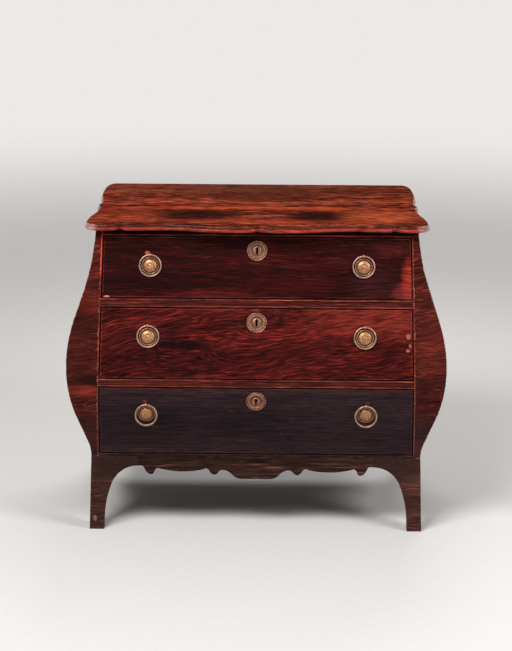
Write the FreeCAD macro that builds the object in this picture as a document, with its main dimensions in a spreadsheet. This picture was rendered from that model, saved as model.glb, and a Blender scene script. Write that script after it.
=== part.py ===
"""Bombe chest of three drawers: a parametric FreeCAD document, in millimetres.

+X is the right-hand side seen from the front, -Y is the front and +Z is up.  The origin is on the floor, in
the middle of the chest's bounding box.  Every driving size is a named cell of the sheet "Sizes".
"""
import FreeCAD, Part
import math
import os
import re

from FreeCAD import Rotation, Vector

os.makedirs("parts", exist_ok=True)
doc = FreeCAD.newDocument("BombeChest")

# ---------------------------------------------------------------------------------------------------------
# Driving sizes
# ---------------------------------------------------------------------------------------------------------
DRIVING_SIZES = [
    # case
    ("waist_half", 417.0, "half width of the case where it stands on the legs"),
    ("case_depth", 521.0, "front face at the waist to the back of the case"),
    ("plinth_top", 192.5, "floor to the joint between legs and case"),
    ("case_top", 781.0, "floor to the underside of the top board"),
    ("panel_wall", 16.0, "thickness of the side panels"),
    ("front_wall", 24.0, "thickness of stiles and drawer fronts, measured front to back"),
    ("back_wall", 12.0, "thickness of the back boards"),
    # swelling of the sides and of the front
    ("belly_height", 436.0, "floor to the widest level"),
    ("side_belly", 56.0, "how far the sides swell beyond the waist"),
    ("side_neck", 18.0, "how far the sides draw in below the top"),
    ("front_belly", 55.0, "how far the front swells beyond the waist"),
    ("front_neck", 5.0, "how far the front draws in below the top"),
    ("belly_radius", 390.0, "radius of the swelling"),
    ("waist_radius", 120.0, "radius of the hollow above the legs"),
    ("neck_radius", 650.0, "radius of the hollow below the top"),
    ("neck_slope", 4.2, "slope of the neck at the top, in degrees"),
    # openings
    ("stile_top_width", 34.7, "width of a stile at its top, in from the waist's edge"),
    ("stile_low_width", 18.2, "width of a stile at its bottom"),
    ("top_rail_low", 764.0, "floor to the top of the upper opening"),
    ("opening_low", 200.5, "floor to the bottom of the lower opening"),
    ("upper_rail_low", 590.5, "floor to the lower face of the upper rail"),
    ("lower_rail_low", 391.0, "floor to the lower face of the lower rail"),
    ("rail_height", 19.5, "height of the rails between the drawers"),
    ("rail_back", 30.0, "back of the rails, behind the waist's front face"),
    ("bead_width", 3.0, "width of the beads round the openings"),
    ("bead_depth", 9.0, "depth of the rebate that a bead lies in"),
    ("bead_proud", 1.2, "how far a bead stands proud"),
    # top board
    ("top_thickness", 16.0, "thickness of the top board"),
    ("nose_height", 8.1, "height of the lower band of its moulded edge"),
    ("nose_radius", 3.6, "radius of that band's two round edges"),
    ("quirk", 2.2, "step from the lower band in to the upper one"),
    ("crest_radius", 4.8, "radius of the upper band's round edge"),
    ("top_back_overhang", 12.0, "how far the top board stands out beyond the back"),
    ("notch_round", 1.0, "radius of the bottoms of its notches; the outline below is drawn this much larger"),
    ("centre_notch", 28.0, "waist's front face out to the notch in the middle of the front edge"),
    ("lobe_slope", 50.0, "slope of the front edge beside that notch, in degrees"),
    ("centre_crown", 40.0, "middle of the top board to the crown of the lobe beside the notch"),
    ("centre_crown_front", 47.0, "waist's front face out to that crown"),
    ("hollow_start", 165.0, "middle of the top board to the start of the hollow beside that lobe"),
    ("hollow_start_front", 30.0, "waist's front face out to that start"),
    ("hollow_end", 270.0, "middle of the top board to the end of that hollow"),
    ("hollow_end_front", 23.0, "waist's front face out to that end"),
    ("small_crown", 20.0, "corner notch in to the crown of the small lobe beside it"),
    ("small_crown_front", 27.0, "waist's front face out to that crown"),
    ("corner_notch_half", 338.0, "middle of the top board to the notch beside each corner lobe"),
    ("corner_notch", 12.0, "waist's front face out to that notch"),
    ("corner_lobe_start", 375.0, "middle of the top board to the straight front of a corner lobe"),
    ("corner_lobe_front", 32.0, "waist's front face out to that straight front"),
    ("corner_radius", 42.0, "radius of the corner lobes' outer corner"),
    ("top_tip_half", 427.5, "half width of the top board across its front corners"),
    ("side_hollow_half", 406.5, "half width of the top board across the hollows of its sides"),
    ("side_hollow_back", 200.0, "waist's front face back to the first of them"),
    ("side_point_half", 413.0, "half width of the top board across the rounded points of its sides"),
    ("side_point_back", 232.0, "waist's front face back to those points"),
    ("side_lobe_half", 415.0, "half width of the top board across the lobes of its sides"),
    ("side_lobe_back", 400.0, "waist's front face back to those lobes"),
    ("back_corner_side", 411.0, "half width of the top board where its back corners begin"),
    ("back_corner_reach", 45.0, "how far those corners run along the sides"),
    ("top_back_half", 396.0, "half width of the top board at its back"),
    # legs and aprons
    ("foot_splay", 6.0, "how far a foot leans out beyond the waist"),
    ("leg_wall", 36.0, "thickness of the bracket legs and aprons' corner"),
    ("apron_wall", 22.0, "thickness of the aprons"),
    ("arch_height", 168.5, "floor to the top of the arch beside a leg"),
    ("arch_inset", 119.0, "waist's edge to the joint between leg and apron"),
    ("arch_radius", 72.0, "radius of the arch's shoulder"),
    ("arch_turn", 68.5, "degrees that the shoulder turns through"),
    ("leg_sweep", 310.0, "radius of the leg's inner curve below the shoulder"),
    ("lobe_low", 135.0, "floor to the lowest point of an apron"),
    ("lobe_flat", 36.0, "half width of the straight middle of the apron's centre lobe"),
    ("lobe_half", 84.0, "half width of the apron's centre lobe"),
    ("saddle_height", 158.0, "floor to the apron's edge beside the centre lobe"),
    ("inner_drop", 105.0, "middle of the chest to the inner drop of the front apron"),
    ("outer_drop", 266.0, "middle of the chest to the outer drop of the front apron"),
    ("drop_half", 16.0, "half width of a drop, with the hollows that lead into it"),
    ("drop_low", 145.5, "floor to the tip of a drop"),
    ("swag_end", 162.5, "floor to the ends of the swag between two drops"),
    ("swag_low", 153.5, "floor to the lowest point of that swag"),
    # inner strips
    ("stop_length", 12.0, "length of a drawer stop"),
    ("stop_height", 14.0, "height of a drawer stop"),
    ("cleat_size", 18.0, "height of the cleats under the top board"),
    ("plank_gap", 1.0, "gap between two back planks"),
    ("block_size", 16.0, "height and depth of the glue blocks"),
    ("block_length", 60.0, "length of the glue blocks"),
    # drawers
    ("reveal", 1.5, "gap round a drawer front"),
    ("running_gap", 0.3, "gap under a drawer side"),
    ("box_side_gap", 1.8, "gap beside the drawer boxes where the opening is narrowest"),
    ("box_wall", 12.0, "thickness of the drawer sides"),
    ("box_back_wall", 10.0, "thickness of the drawer backs"),
    ("box_floor", 7.0, "thickness of the drawer bottoms"),
    ("box_floor_height", 6.0, "lower edge of a drawer side to the underside of its bottom"),
    ("box_headroom", 8.0, "gap over a drawer side"),
    ("box_back_room", 44.0, "gap between the drawer boxes and the back boards"),
    ("guide_gap", 0.5, "gap between a drawer side and its guide"),
    ("runner_reach", 40.0, "how far the runners reach in under the drawer sides"),
    ("guide_height", 22.0, "height of the drawer guides"),
    ("seat_gap", 0.2, "gap round a fitting that is let into the wood"),
    ("plate_footing", 4.0, "depth that plates are turned below the face, before they are cut to it"),
    # ring pulls
    ("pull_inset", 120.5, "stile to the middle of a ring pull"),
    ("ring_radius", 26.4, "radius of a ring's centre line"),
    ("ring_wire", 2.6, "half thickness of a ring"),
    ("plate_radius", 22.3, "radius of a pull's round plate"),
    ("dome_radius", 16.0, "radius of the dome on the plate"),
    ("dome_height", 9.0, "height of the dome over the drawer front"),
    ("eye_height", 5.2, "height of the eye's centre over the drawer front"),
    ("eye_radius", 4.6, "outer radius of the eye"),
    ("eye_length", 7.0, "length of the eye along its hole"),
    ("eye_hole", 3.15, "radius of the eye's hole"),
    ("stem_radius", 2.5, "radius of the post's stem"),
    ("nut_radius", 7.0, "radius of the nut behind the drawer front"),
    ("nut_height", 4.0, "height of that nut"),
    ("stem_end", 2.5, "how far a stem passes its nut"),
    ("rest_gap", 0.3, "gap between a ring at rest and the drawer front"),
    # locks
    ("escutcheon_radius", 25.5, "radius of a keyhole escutcheon"),
    ("escutcheon_height", 5.0, "height of an escutcheon's rim"),
    ("key_head", 3.7, "radius of the keyhole's round head"),
    ("key_slot", 6.0, "width of the keyhole's slot"),
    ("key_length", 18.0, "length of the keyhole"),
    ("lock_width", 64.0, "width of a lock case"),
    ("lock_height", 54.0, "height of a lock case"),
    ("lock_depth", 14.0, "depth of a lock case"),
    ("bolt_width", 24.0, "width of a lock bolt"),
    ("bolt_depth", 6.0, "depth of a lock bolt"),
    ("bolt_height", 22.0, "height of a lock bolt"),
    ("bolt_throw", 7.0, "travel of a lock bolt"),
    ("bolt_gap", 0.4, "gap round a lock bolt"),
    # heights of the fittings
    ("upper_pull_z", 690.0, "floor to the middle of the upper drawer's pulls"),
    ("middle_pull_z", 518.0, "floor to the middle of the middle drawer's pulls"),
    ("lower_pull_z", 317.5, "floor to the middle of the lower drawer's pulls"),
    ("upper_key_z", 728.0, "floor to the middle of the upper keyhole"),
    ("middle_key_z", 553.5, "floor to the middle of the middle keyhole"),
    ("lower_key_z", 353.5, "floor to the middle of the lower keyhole"),
]
DERIVED_SIZES = [
    ("opening_half_top", "=waist_half - stile_top_width", "half width between the stiles at their top"),
    ("opening_half_low", "=waist_half - stile_low_width", "half width between the stiles at their bottom"),
    ("box_half", "=opening_half_top - box_side_gap", "half width of the drawer boxes"),
    ("box_end", "=case_depth - back_wall - box_back_room", "waist's front face to the drawer boxes' back"),
    ("top_back", "=case_depth + top_back_overhang", "waist's front face to the top board's back edge"),
]

sizes = doc.addObject("Spreadsheet::Sheet", "Sizes")
named_cells = []


def add_size(alias, value, note):
    """Write one named size, a number or a formula, into the sheet's next row."""
    named_cells.append(alias)
    row = len(named_cells)
    sizes.set("A%d" % row, alias)
    sizes.set("B%d" % row, str(value))
    sizes.set("C%d" % row, note)
    sizes.setAlias("B%d" % row, alias)


for alias, value, note in DRIVING_SIZES + DERIVED_SIZES:
    add_size(alias, value, note)
doc.recompute()


def size(alias):
    """Return a driving size as a number."""
    return float(sizes.get(alias))


def bind(thing, prop, formula):
    """Bind a property to a formula in which every word is a name in the sheet."""
    thing.setExpression(prop, re.sub(r"\b([a-z_]+)\b", r"Sizes.\1", formula))


# ---------------------------------------------------------------------------------------------------------
# Outlines
# ---------------------------------------------------------------------------------------------------------
def upright(point):
    """Return a point of an outline as it is."""
    return Vector(point.x, point.y, 0)


def flipped(point):
    """Return a point of an outline on the other side of its upright axis."""
    return Vector(-point.x, point.y, 0)


def straight_edges(points):
    """Return the open chain of straight edges through points."""
    return [Part.LineSegment(start, end) for start, end in zip(points, points[1:])]


def tangent_arcs(start, heading, ends):
    """Return arcs through ends, each as (start, middle, end), that run on smoothly from a start and heading."""
    arcs = []
    here = Vector(*start, 0)
    way = Vector(math.cos(heading), math.sin(heading), 0)
    for end in ends:
        there = Vector(*end, 0)
        chord = there - here
        left = Vector(-way.y, way.x, 0)
        radius = chord.Length ** 2 / (2 * chord.dot(left))
        centre = here + left * radius
        middle = centre + ((here + there) / 2 - centre).normalize() * abs(radius)
        arcs.append([(point.x, point.y) for point in (here, middle, there)])
        left_at_end = (centre - there) / radius
        way = Vector(left_at_end.y, -left_at_end.x, 0)
        here = there
    return arcs


def midway(start, end):
    """Return the middle of two points."""
    return ((start[0] + end[0]) / 2, (start[1] + end[1]) / 2)


def ogee(start, end):
    """Return the two arcs of an S that leaves its start and reaches its end level."""
    return tangent_arcs(start, 0, [midway(start, end), end])


def mirror_edges(pieces, place):
    """Return both halves of an outline as edges, from a half given as lines (two points) and arcs (three)."""
    edges = []
    for sign in (1, -1):
        for piece in pieces:
            spots = [place(Vector(sign * x, y, 0)) for x, y in piece]
            edges.append(Part.Arc(*spots) if len(spots) == 3 else Part.LineSegment(*spots))
    return edges


# ---------------------------------------------------------------------------------------------------------
# The swelling profile, used by every piece of the front and of the sides
# ---------------------------------------------------------------------------------------------------------
def inner_tangent(centre_a, radius_a, centre_b, radius_b, side):
    """Return the ends of the line that touches both circles and crosses between them."""
    gap = centre_b - centre_a
    angle = math.atan2(gap.y, gap.x) + side * math.acos((radius_a + radius_b) / gap.Length)
    outward = Vector(math.cos(angle), math.sin(angle), 0)
    return centre_a + outward * radius_a, centre_b - outward * radius_b


class Swelling:
    """The bombe curve: a hollow at the waist, a round belly and a long hollow neck.

    Points are Vector(bulge, height, 0), where bulge is the distance beyond the waist.
    """

    def __init__(self, belly, neck):
        belly_radius = size("belly_radius")
        waist_radius = size("waist_radius")
        neck_radius = size("neck_radius")
        slope = math.radians(size("neck_slope"))
        self.belly_centre = Vector(belly - belly_radius, size("belly_height"), 0)
        self.waist_centre = Vector(waist_radius, size("plinth_top"), 0)
        self.top = Vector(-neck, size("case_top"), 0)
        self.neck_centre = self.top + Vector(math.cos(slope), math.sin(slope), 0) * neck_radius
        self.belly_low, self.waist_high = inner_tangent(
            self.belly_centre, belly_radius, self.waist_centre, waist_radius, 1)
        self.belly_high, self.neck_low = inner_tangent(
            self.belly_centre, belly_radius, self.neck_centre, neck_radius, -1)
        self.waist = Vector(0, size("plinth_top"), 0)

    def bulge(self, height):
        """Return how far the curve stands beyond the waist at a height."""
        if height <= self.waist_high.y:
            rise = height - self.waist_centre.y
            return self.waist_centre.x - math.sqrt(size("waist_radius") ** 2 - rise ** 2)
        if height <= self.belly_low.y:
            share = (height - self.waist_high.y) / (self.belly_low.y - self.waist_high.y)
            return self.waist_high.x + share * (self.belly_low.x - self.waist_high.x)
        if height <= self.belly_high.y:
            rise = height - self.belly_centre.y
            return self.belly_centre.x + math.sqrt(size("belly_radius") ** 2 - rise ** 2)
        if height <= self.neck_low.y:
            share = (height - self.belly_high.y) / (self.neck_low.y - self.belly_high.y)
            return self.belly_high.x + share * (self.neck_low.x - self.belly_high.x)
        rise = self.neck_centre.y - height
        return self.neck_centre.x - math.sqrt(size("neck_radius") ** 2 - rise ** 2)

    def lean(self, height):
        """Return the curve's slope at a height: change of bulge per millimetre of height."""
        return self.bulge(height + 0.5) - self.bulge(height - 0.5)

    def edges(self, place):
        """Return the curve's five pieces, from waist to top, through a function that places its points."""
        def arc(start, end, centre, radius):
            """Return the short arc between two points of a circle."""
            middle = centre + ((start + end) * 0.5 - centre).normalize() * radius
            return Part.Arc(place(start), place(middle), place(end))

        return [
            arc(self.waist, self.waist_high, self.waist_centre, size("waist_radius")),
            Part.LineSegment(place(self.waist_high), place(self.belly_low)),
            arc(self.belly_low, self.belly_high, self.belly_centre, size("belly_radius")),
            Part.LineSegment(place(self.belly_high), place(self.neck_low)),
            arc(self.neck_low, self.top, self.neck_centre, size("neck_radius")),
        ]


front_curve = Swelling(size("front_belly"), size("front_neck"))
side_curve = Swelling(size("side_belly"), size("side_neck"))

# The foremost point is the dome of a middle pull and the rearmost is the top board's back edge.  The front
# plane of the waist is placed so that the middle of these two is at Y = 0.
front_reach = front_curve.bulge(size("middle_pull_z")) + size("dome_height")
add_size("front_plane", (front_reach - size("top_back")) / 2, "Y of the waist's front face, worked out")
doc.recompute()
FRONT = size("front_plane")
FAR = 1200.0


# ---------------------------------------------------------------------------------------------------------
# Small tools for making pieces
# ---------------------------------------------------------------------------------------------------------
nodes = []


def keep(thing, label):
    """Name a finished piece; its label is the name of its file."""
    thing.Label = label
    nodes.append(thing)
    return thing


def box(name, x_low, x_high, y_low, y_high, z_low, z_high):
    """Make a box between six formulas; its Y formulas count from the waist's front face."""
    thing = doc.addObject("Part::Box", name)
    bind(thing, "Length", "(%s) - (%s)" % (x_high, x_low))
    bind(thing, "Width", "(%s) - (%s)" % (y_high, y_low))
    bind(thing, "Height", "(%s) - (%s)" % (z_high, z_low))
    bind(thing, "Placement.Base.x", x_low)
    bind(thing, "Placement.Base.y", "front_plane + (%s)" % y_low)
    bind(thing, "Placement.Base.z", z_low)
    return thing


def common(name, first, second):
    """Keep what two shapes share."""
    thing = doc.addObject("Part::Common", name)
    thing.Base = first
    thing.Tool = second
    return thing


def cut(name, base, tool):
    """Take one shape away from another."""
    thing = doc.addObject("Part::Cut", name)
    thing.Base = base
    thing.Tool = tool
    return thing


def fuse(name, shapes):
    """Join shapes into one."""
    thing = doc.addObject("Part::MultiFuse", name)
    thing.Shapes = shapes
    return thing


def group(name, shapes):
    """Hold separate solids of one kind in one piece."""
    thing = doc.addObject("Part::Compound", name)
    thing.Links = shapes
    return thing


def mirrored(name, source):
    """Mirror a right-hand piece to the left."""
    thing = doc.addObject("Part::Mirroring", name)
    thing.Source = source
    thing.Normal = Vector(1, 0, 0)
    return thing


def origin_plane(body, role):
    """Return one of a body's own origin planes."""
    return [feature for feature in body.Origin.OriginFeatures if feature.Role == role][0]


def sketch_on(body, role, name, edges):
    """Add a sketch with the given outline on one of the body's origin planes."""
    sketch = body.newObject("Sketcher::SketchObject", name)
    sketch.AttachmentSupport = [(origin_plane(body, role), "")]
    sketch.MapMode = "FlatFace"
    sketch.addGeometry(edges, False)
    return sketch


def padded(name, role, edges, length_formula, both_ways=False):
    """Make a body that is one outline, padded."""
    body = doc.addObject("PartDesign::Body", name)
    sketch = sketch_on(body, role, name + "Sketch", edges)
    pad = body.newObject("PartDesign::Pad", name + "Pad")
    pad.Profile = sketch
    bind(pad, "Length", length_formula)
    pad.Midplane = both_ways
    sketch.Visibility = False
    return body


def turned(name, edges):
    """Make a body that is a half outline, turned round its own Z axis."""
    body = doc.addObject("PartDesign::Body", name)
    sketch = sketch_on(body, "XZ_Plane", name + "Sketch", edges)
    spin = body.newObject("PartDesign::Revolution", name + "Revolution")
    spin.Profile = sketch
    spin.ReferenceAxis = (sketch, ["V_Axis"])
    spin.Angle = 360.0
    return body


# ---------------------------------------------------------------------------------------------------------
# Forms: shapes that pieces are cut to, not pieces themselves
# ---------------------------------------------------------------------------------------------------------
def front_form(name, depth_formula):
    """Everything behind the front's swelling face, moved back by a depth."""
    low = size("plinth_top")
    high = size("case_top")
    edges = front_curve.edges(flipped)
    edges += [
        Part.LineSegment(flipped(front_curve.top), Vector(FAR, high, 0)),
        Part.LineSegment(Vector(FAR, high, 0), Vector(FAR, low, 0)),
        Part.LineSegment(Vector(FAR, low, 0), flipped(front_curve.waist)),
    ]
    form = padded(name, "YZ_Plane", edges, "waist_half * 3", both_ways=True)
    bind(form, "Placement.Base.y", "front_plane + " + depth_formula)
    return form


def side_form(name, inset_formula):
    """Everything inside the right-hand side's swelling face, moved in by an inset."""
    low = size("plinth_top")
    high = size("case_top")
    edges = side_curve.edges(upright)
    edges += [
        Part.LineSegment(upright(side_curve.top), Vector(-FAR, high, 0)),
        Part.LineSegment(Vector(-FAR, high, 0), Vector(-FAR, low, 0)),
        Part.LineSegment(Vector(-FAR, low, 0), upright(side_curve.waist)),
    ]
    form = padded(name, "XZ_Plane", edges, "case_depth * 4", both_ways=True)
    bind(form, "Placement.Base.x", "waist_half - " + inset_formula)
    return form


def opening_form(name, margin_formula):
    """The wedge between the stiles' inner edges, wider by a margin on each side."""
    form = doc.addObject("Part::Wedge", name)
    bind(form, "Xmin", "-opening_half_low - (%s)" % margin_formula)
    bind(form, "Xmax", "opening_half_low + (%s)" % margin_formula)
    bind(form, "X2min", "-opening_half_top - (%s)" % margin_formula)
    bind(form, "X2max", "opening_half_top + (%s)" % margin_formula)
    bind(form, "Zmax", "case_depth")
    bind(form, "Z2max", "case_depth")
    bind(form, "Ymax", "case_top - plinth_top")
    form.Placement.Rotation = Rotation(Vector(1, 0, 0), 90)
    bind(form, "Placement.Base.y", "front_plane + case_depth / 2")
    bind(form, "Placement.Base.z", "plinth_top")
    return form


front_face = front_form("FrontFace", "0")
front_inside = front_form("FrontInside", "front_wall")
bead_face = front_form("BeadFace", "(-bead_proud)")
bead_floor = front_form("BeadFloor", "bead_depth")
side_face = side_form("SideFace", "0")
side_inside = side_form("SideInside", "panel_wall")
front_shell = cut("FrontShell", front_face, front_inside)
bead_shell = cut("BeadShell", bead_face, bead_floor)
case_inside = common("CaseInside", side_inside, mirrored("SideInsideLeft", side_inside))
between_stiles = opening_form("BetweenStiles", "0")
between_bead_floors = opening_form("BetweenBeadFloors", "bead_width")

# ---------------------------------------------------------------------------------------------------------
# Case: beads, stiles, panels and rails
# ---------------------------------------------------------------------------------------------------------
FRONT_LIMIT = "-front_belly * 2"
SIDE_LIMIT = "waist_half + side_belly * 2"
# lower and upper edge of each drawer opening
OPENINGS = {
    "upper": ("upper_rail_low + rail_height", "top_rail_low"),
    "middle": ("lower_rail_low + rail_height", "upper_rail_low"),
    "lower": ("opening_low", "lower_rail_low"),
}


def right_stile_bead():
    """The upright bead along the right stile's inner edge."""
    span = box("StileBeadSpan", "0", SIDE_LIMIT, FRONT_LIMIT, "bead_depth * 2", "opening_low", "top_rail_low")
    strip = cut("StileBeadStrip", between_bead_floors, between_stiles)
    return common("StileBead", common("StileBeadPiece", bead_shell, strip), span)


def rail_bead(name, low_formula, high_formula):
    """A level bead between the stiles."""
    span = box(name + "Span", "-" + "(" + SIDE_LIMIT + ")", SIDE_LIMIT, FRONT_LIMIT, "bead_depth * 2",
               low_formula, high_formula)
    return common(name, common(name + "Piece", bead_shell, between_stiles), span)


stile_bead = right_stile_bead()
rail_bead_list = []
for drawer_name, (low, high) in OPENINGS.items():
    title = drawer_name.capitalize()
    rail_bead_list.append(rail_bead(title + "BeadUnder", low + " - bead_width", low))
    rail_bead_list.append(rail_bead(title + "BeadOver", high, high + " + bead_width"))
rail_beads = keep(group("RailBeads", rail_bead_list), "rail_beads")
stile_beads = keep(group("StileBeads", [stile_bead, mirrored("StileBeadLeft", stile_bead)]), "stile_beads")


def right_stile():
    """The wide front upright: its face follows the front, its outer edge the side."""
    span = box("StileSpan", "0", SIDE_LIMIT, FRONT_LIMIT, "rail_back", "plinth_top", "case_top")
    plank = common("StilePlank", common("StileFace", front_shell, side_face), span)
    return cut("Stile", cut("StileEdge", plank, between_stiles), stile_bead)


def right_panel():
    """The curved side panel behind the stile."""
    span = box("PanelSpan", "0", SIDE_LIMIT, FRONT_LIMIT, "case_depth", "plinth_top", "case_top")
    shell = cut("PanelShell", side_face, side_inside)
    return common("Panel", common("PanelLength", shell, front_inside), span)


stile = keep(right_stile(), "right_front_stile")
left_stile = keep(mirrored("StileLeft", stile), "left_front_stile")
panel = keep(right_panel(), "right_side_panel")
keep(mirrored("PanelLeft", panel), "left_side_panel")


def lock_front(high_alias):
    """Return the Y of a lock case's front, counted from the waist's front face."""
    inside_top = size("front_wall") - front_curve.bulge(size(high_alias) - size("reveal"))
    inside_low = size("front_wall") - front_curve.bulge(size(high_alias) - size("lock_height"))
    return max(inside_top, inside_low) - size("lock_depth")


for drawer_name, high_alias in (("upper", "top_rail_low"), ("middle", "upper_rail_low"),
                                ("lower", "lower_rail_low")):
    add_size(drawer_name + "_lock_front", lock_front(high_alias),
             "waist's front face back to the lock case's front, worked out")
doc.recompute()


def bolt_box(name, drawer_name, margin, low_formula, high_formula):
    """A box round a lock bolt, wider by a margin on every side."""
    front = drawer_name + "_lock_front + (lock_depth - bolt_depth) / 2"
    return box(name, "-bolt_width / 2 - " + margin, "bolt_width / 2 + " + margin,
               front + " - " + margin, front + " + bolt_depth + " + margin, low_formula, high_formula)


def rail(name, low_formula, high_formula, drawer_name):
    """A rail between the stiles, with the mortise for the lock bolt of the drawer below it."""
    span = box(name + "Span", "-" + "(" + SIDE_LIMIT + ")", SIDE_LIMIT, FRONT_LIMIT, "rail_back",
               low_formula, high_formula)
    plank = common(name + "Plank", common(name + "Face", front_face, between_stiles), span)
    mortise = bolt_box(name + "Mortise", drawer_name, "bolt_gap", low_formula + " - bolt_throw",
                       low_formula + " + bolt_throw")
    return cut(name, plank, fuse(name + "Cuts", rail_bead_list + [mortise]))


keep(rail("TopRail", "top_rail_low", "case_top", "upper"), "top_rail")
keep(rail("UpperRail", "upper_rail_low", "upper_rail_low + rail_height", "middle"), "upper_rail")
keep(rail("LowerRail", "lower_rail_low", "lower_rail_low + rail_height", "lower"), "lower_rail")


def bottom_board():
    """The board under the lower drawer, notched round the stiles; its front edge is the bottom rail."""
    span = box("BottomSpan", "-" + "(" + SIDE_LIMIT + ")", SIDE_LIMIT, FRONT_LIMIT, "case_depth - back_wall",
               "plinth_top", "opening_low")
    plank = common("BottomPlank", common("BottomFace", front_face, case_inside), span)
    return cut("BottomBoard", plank, fuse("BottomCuts", [stile, left_stile, rail_bead_list[-2]]))


keep(bottom_board(), "bottom_board")


def side_strip(name, x_low, y_low, y_high, z_low, z_high):
    """A strip that runs back along the right side and fits against the side panel."""
    span = box(name + "Span", x_low, SIDE_LIMIT, y_low, y_high, z_low, z_high)
    return common(name, span, side_inside)


def both_sides(name, right_pieces):
    """Group right-hand pieces with their mirror images."""
    left_pieces = [mirrored(piece.Name + "Left", piece) for piece in right_pieces]
    return group(name, right_pieces + left_pieces)


BACK_LIMIT = "case_depth - back_wall"
runners = [
    side_strip("UpperRunner", "box_half - runner_reach", "rail_back", BACK_LIMIT,
               "upper_rail_low", "upper_rail_low + rail_height"),
    side_strip("LowerRunner", "box_half - runner_reach", "rail_back", BACK_LIMIT,
               "lower_rail_low", "lower_rail_low + rail_height"),
]
keep(both_sides("Runners", runners), "drawer_runners")
guides = []
stops = []
for drawer_name, (low, high) in OPENINGS.items():
    title = drawer_name.capitalize()
    guides.append(side_strip(title + "Guide", "box_half + guide_gap", "rail_back", BACK_LIMIT,
                             low, low + " + guide_height"))
    stops.append(box(title + "Stop", "box_half - runner_reach * 3 / 4", "box_half - runner_reach / 4",
                     "box_end + guide_gap", "box_end + stop_length", low, low + " + stop_height"))
keep(both_sides("Guides", guides), "drawer_guides")
keep(both_sides("Stops", stops), "drawer_stops")

side_cleat = side_strip("SideCleat", "box_half - runner_reach", "rail_back", BACK_LIMIT,
                        "case_top - cleat_size", "case_top")
back_cleat = box("BackCleat", "-box_half + runner_reach", "box_half - runner_reach",
                 "case_depth - back_wall - cleat_size", BACK_LIMIT, "case_top - cleat_size", "case_top")
cleats = group("Cleats", [side_cleat, mirrored("SideCleatLeft", side_cleat), back_cleat])
keep(cleats, "top_cleats")

PLANKS_PER_SIDE = 2


def back_planks():
    """Upright planks that close the back between the side panels."""
    planks = []
    for number in range(PLANKS_PER_SIDE):
        step = "waist_half / %d" % PLANKS_PER_SIDE
        low = "plank_gap / 2 + %s * %d" % (step, number)
        high = "%s * %d - plank_gap / 2" % (step, number + 1)
        if number == PLANKS_PER_SIDE - 1:
            high = SIDE_LIMIT
        span = box("Plank%dSpan" % number, low, high, BACK_LIMIT, "case_depth", "plinth_top", "case_top")
        planks.append(common("Plank%d" % number, span, side_inside))
    return planks


keep(both_sides("BackPlanks", back_planks()), "back_boards")


# ---------------------------------------------------------------------------------------------------------
# Legs and aprons
# ---------------------------------------------------------------------------------------------------------
def leg_edges(place):
    """Return a leg's outline; place(out, height) puts a point, out being beyond the waist's edge."""
    arch = Vector(-size("arch_inset"), size("arch_height"), 0)
    turn = math.radians(90 - size("arch_turn"))
    toward = Vector(math.cos(turn), math.sin(turn), 0)
    shoulder_centre = arch - Vector(0, size("arch_radius"), 0)
    join = shoulder_centre + toward * size("arch_radius")
    sweep_centre = join - toward * size("leg_sweep")
    foot_angle = -math.asin(sweep_centre.y / size("leg_sweep"))
    middle_angle = (turn + foot_angle) / 2
    shoulder_angle = (turn + math.pi / 2) / 2
    foot = sweep_centre + Vector(math.cos(foot_angle), math.sin(foot_angle), 0) * size("leg_sweep")
    sweep_middle = sweep_centre + Vector(math.cos(middle_angle), math.sin(middle_angle), 0) * size("leg_sweep")
    shoulder_middle = shoulder_centre + Vector(
        math.cos(shoulder_angle), math.sin(shoulder_angle), 0) * size("arch_radius")
    top = size("plinth_top")
    corners = [Vector(0, top, 0), Vector(size("foot_splay"), 0, 0), foot]
    edges = straight_edges([place(point) for point in corners])
    edges.append(Part.Arc(place(foot), place(sweep_middle), place(join)))
    edges.append(Part.Arc(place(join), place(shoulder_middle), place(arch)))
    edges += straight_edges([place(point) for point in (arch, Vector(arch.x, top, 0), corners[0])])
    return edges


def right_leg(name, at_back):
    """A bracket leg with the arch's outline both from the front and from the side."""
    across = padded(name + "Across", "XZ_Plane", leg_edges(upright), "case_depth * 4", True)
    bind(across, "Placement.Base.x", "waist_half")
    along = padded(name + "Along", "YZ_Plane", leg_edges(upright if at_back else flipped), "waist_half * 4",
                   True)
    bind(along, "Placement.Base.y", "front_plane + case_depth" if at_back else "front_plane")
    hollow_low = "0" if at_back else "leg_wall"
    hollow_high = "case_depth - leg_wall" if at_back else "case_depth"
    hollow = box(name + "Hollow", "0", "waist_half - leg_wall", hollow_low, hollow_high,
                 "-plinth_top", "plinth_top * 2")
    return cut(name, common(name + "Block", across, along), hollow)


for end_name, at_back in (("front", False), ("back", True)):
    leg = keep(right_leg("Leg" + end_name.capitalize(), at_back), "right_%s_leg" % end_name)
    keep(mirrored(leg.Name + "Left", leg), "left_%s_leg" % end_name)


def apron_edges(half_span, drops):
    """Return an apron's outline: a centre lobe, then drops and swags out to the arch beside each leg."""
    low = size("lobe_low")
    saddle = (size("lobe_half"), size("saddle_height"))
    flat_end = (size("lobe_flat"), low)
    pieces = [[(0, low), flat_end], *ogee(flat_end, saddle)]
    here = saddle
    for centre in drops:
        start = (centre - size("drop_half"), here[1])
        tip = (centre, size("drop_low"))
        end_height = size("arch_height") if centre == drops[-1] else size("swag_end")
        end = (centre + size("drop_half"), end_height)
        if here == saddle:
            pieces.append([here, start])
        else:
            pieces.append([here, (midway(here, start)[0], size("swag_low")), start])
        pieces += ogee(start, tip) + ogee(tip, end)
        here = end
    arch = (half_span, size("arch_height"))
    pieces.append([here, arch])
    pieces.append([arch, (half_span, size("plinth_top"))])
    pieces.append([(half_span, size("plinth_top")), (0, size("plinth_top"))])
    return pieces


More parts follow.
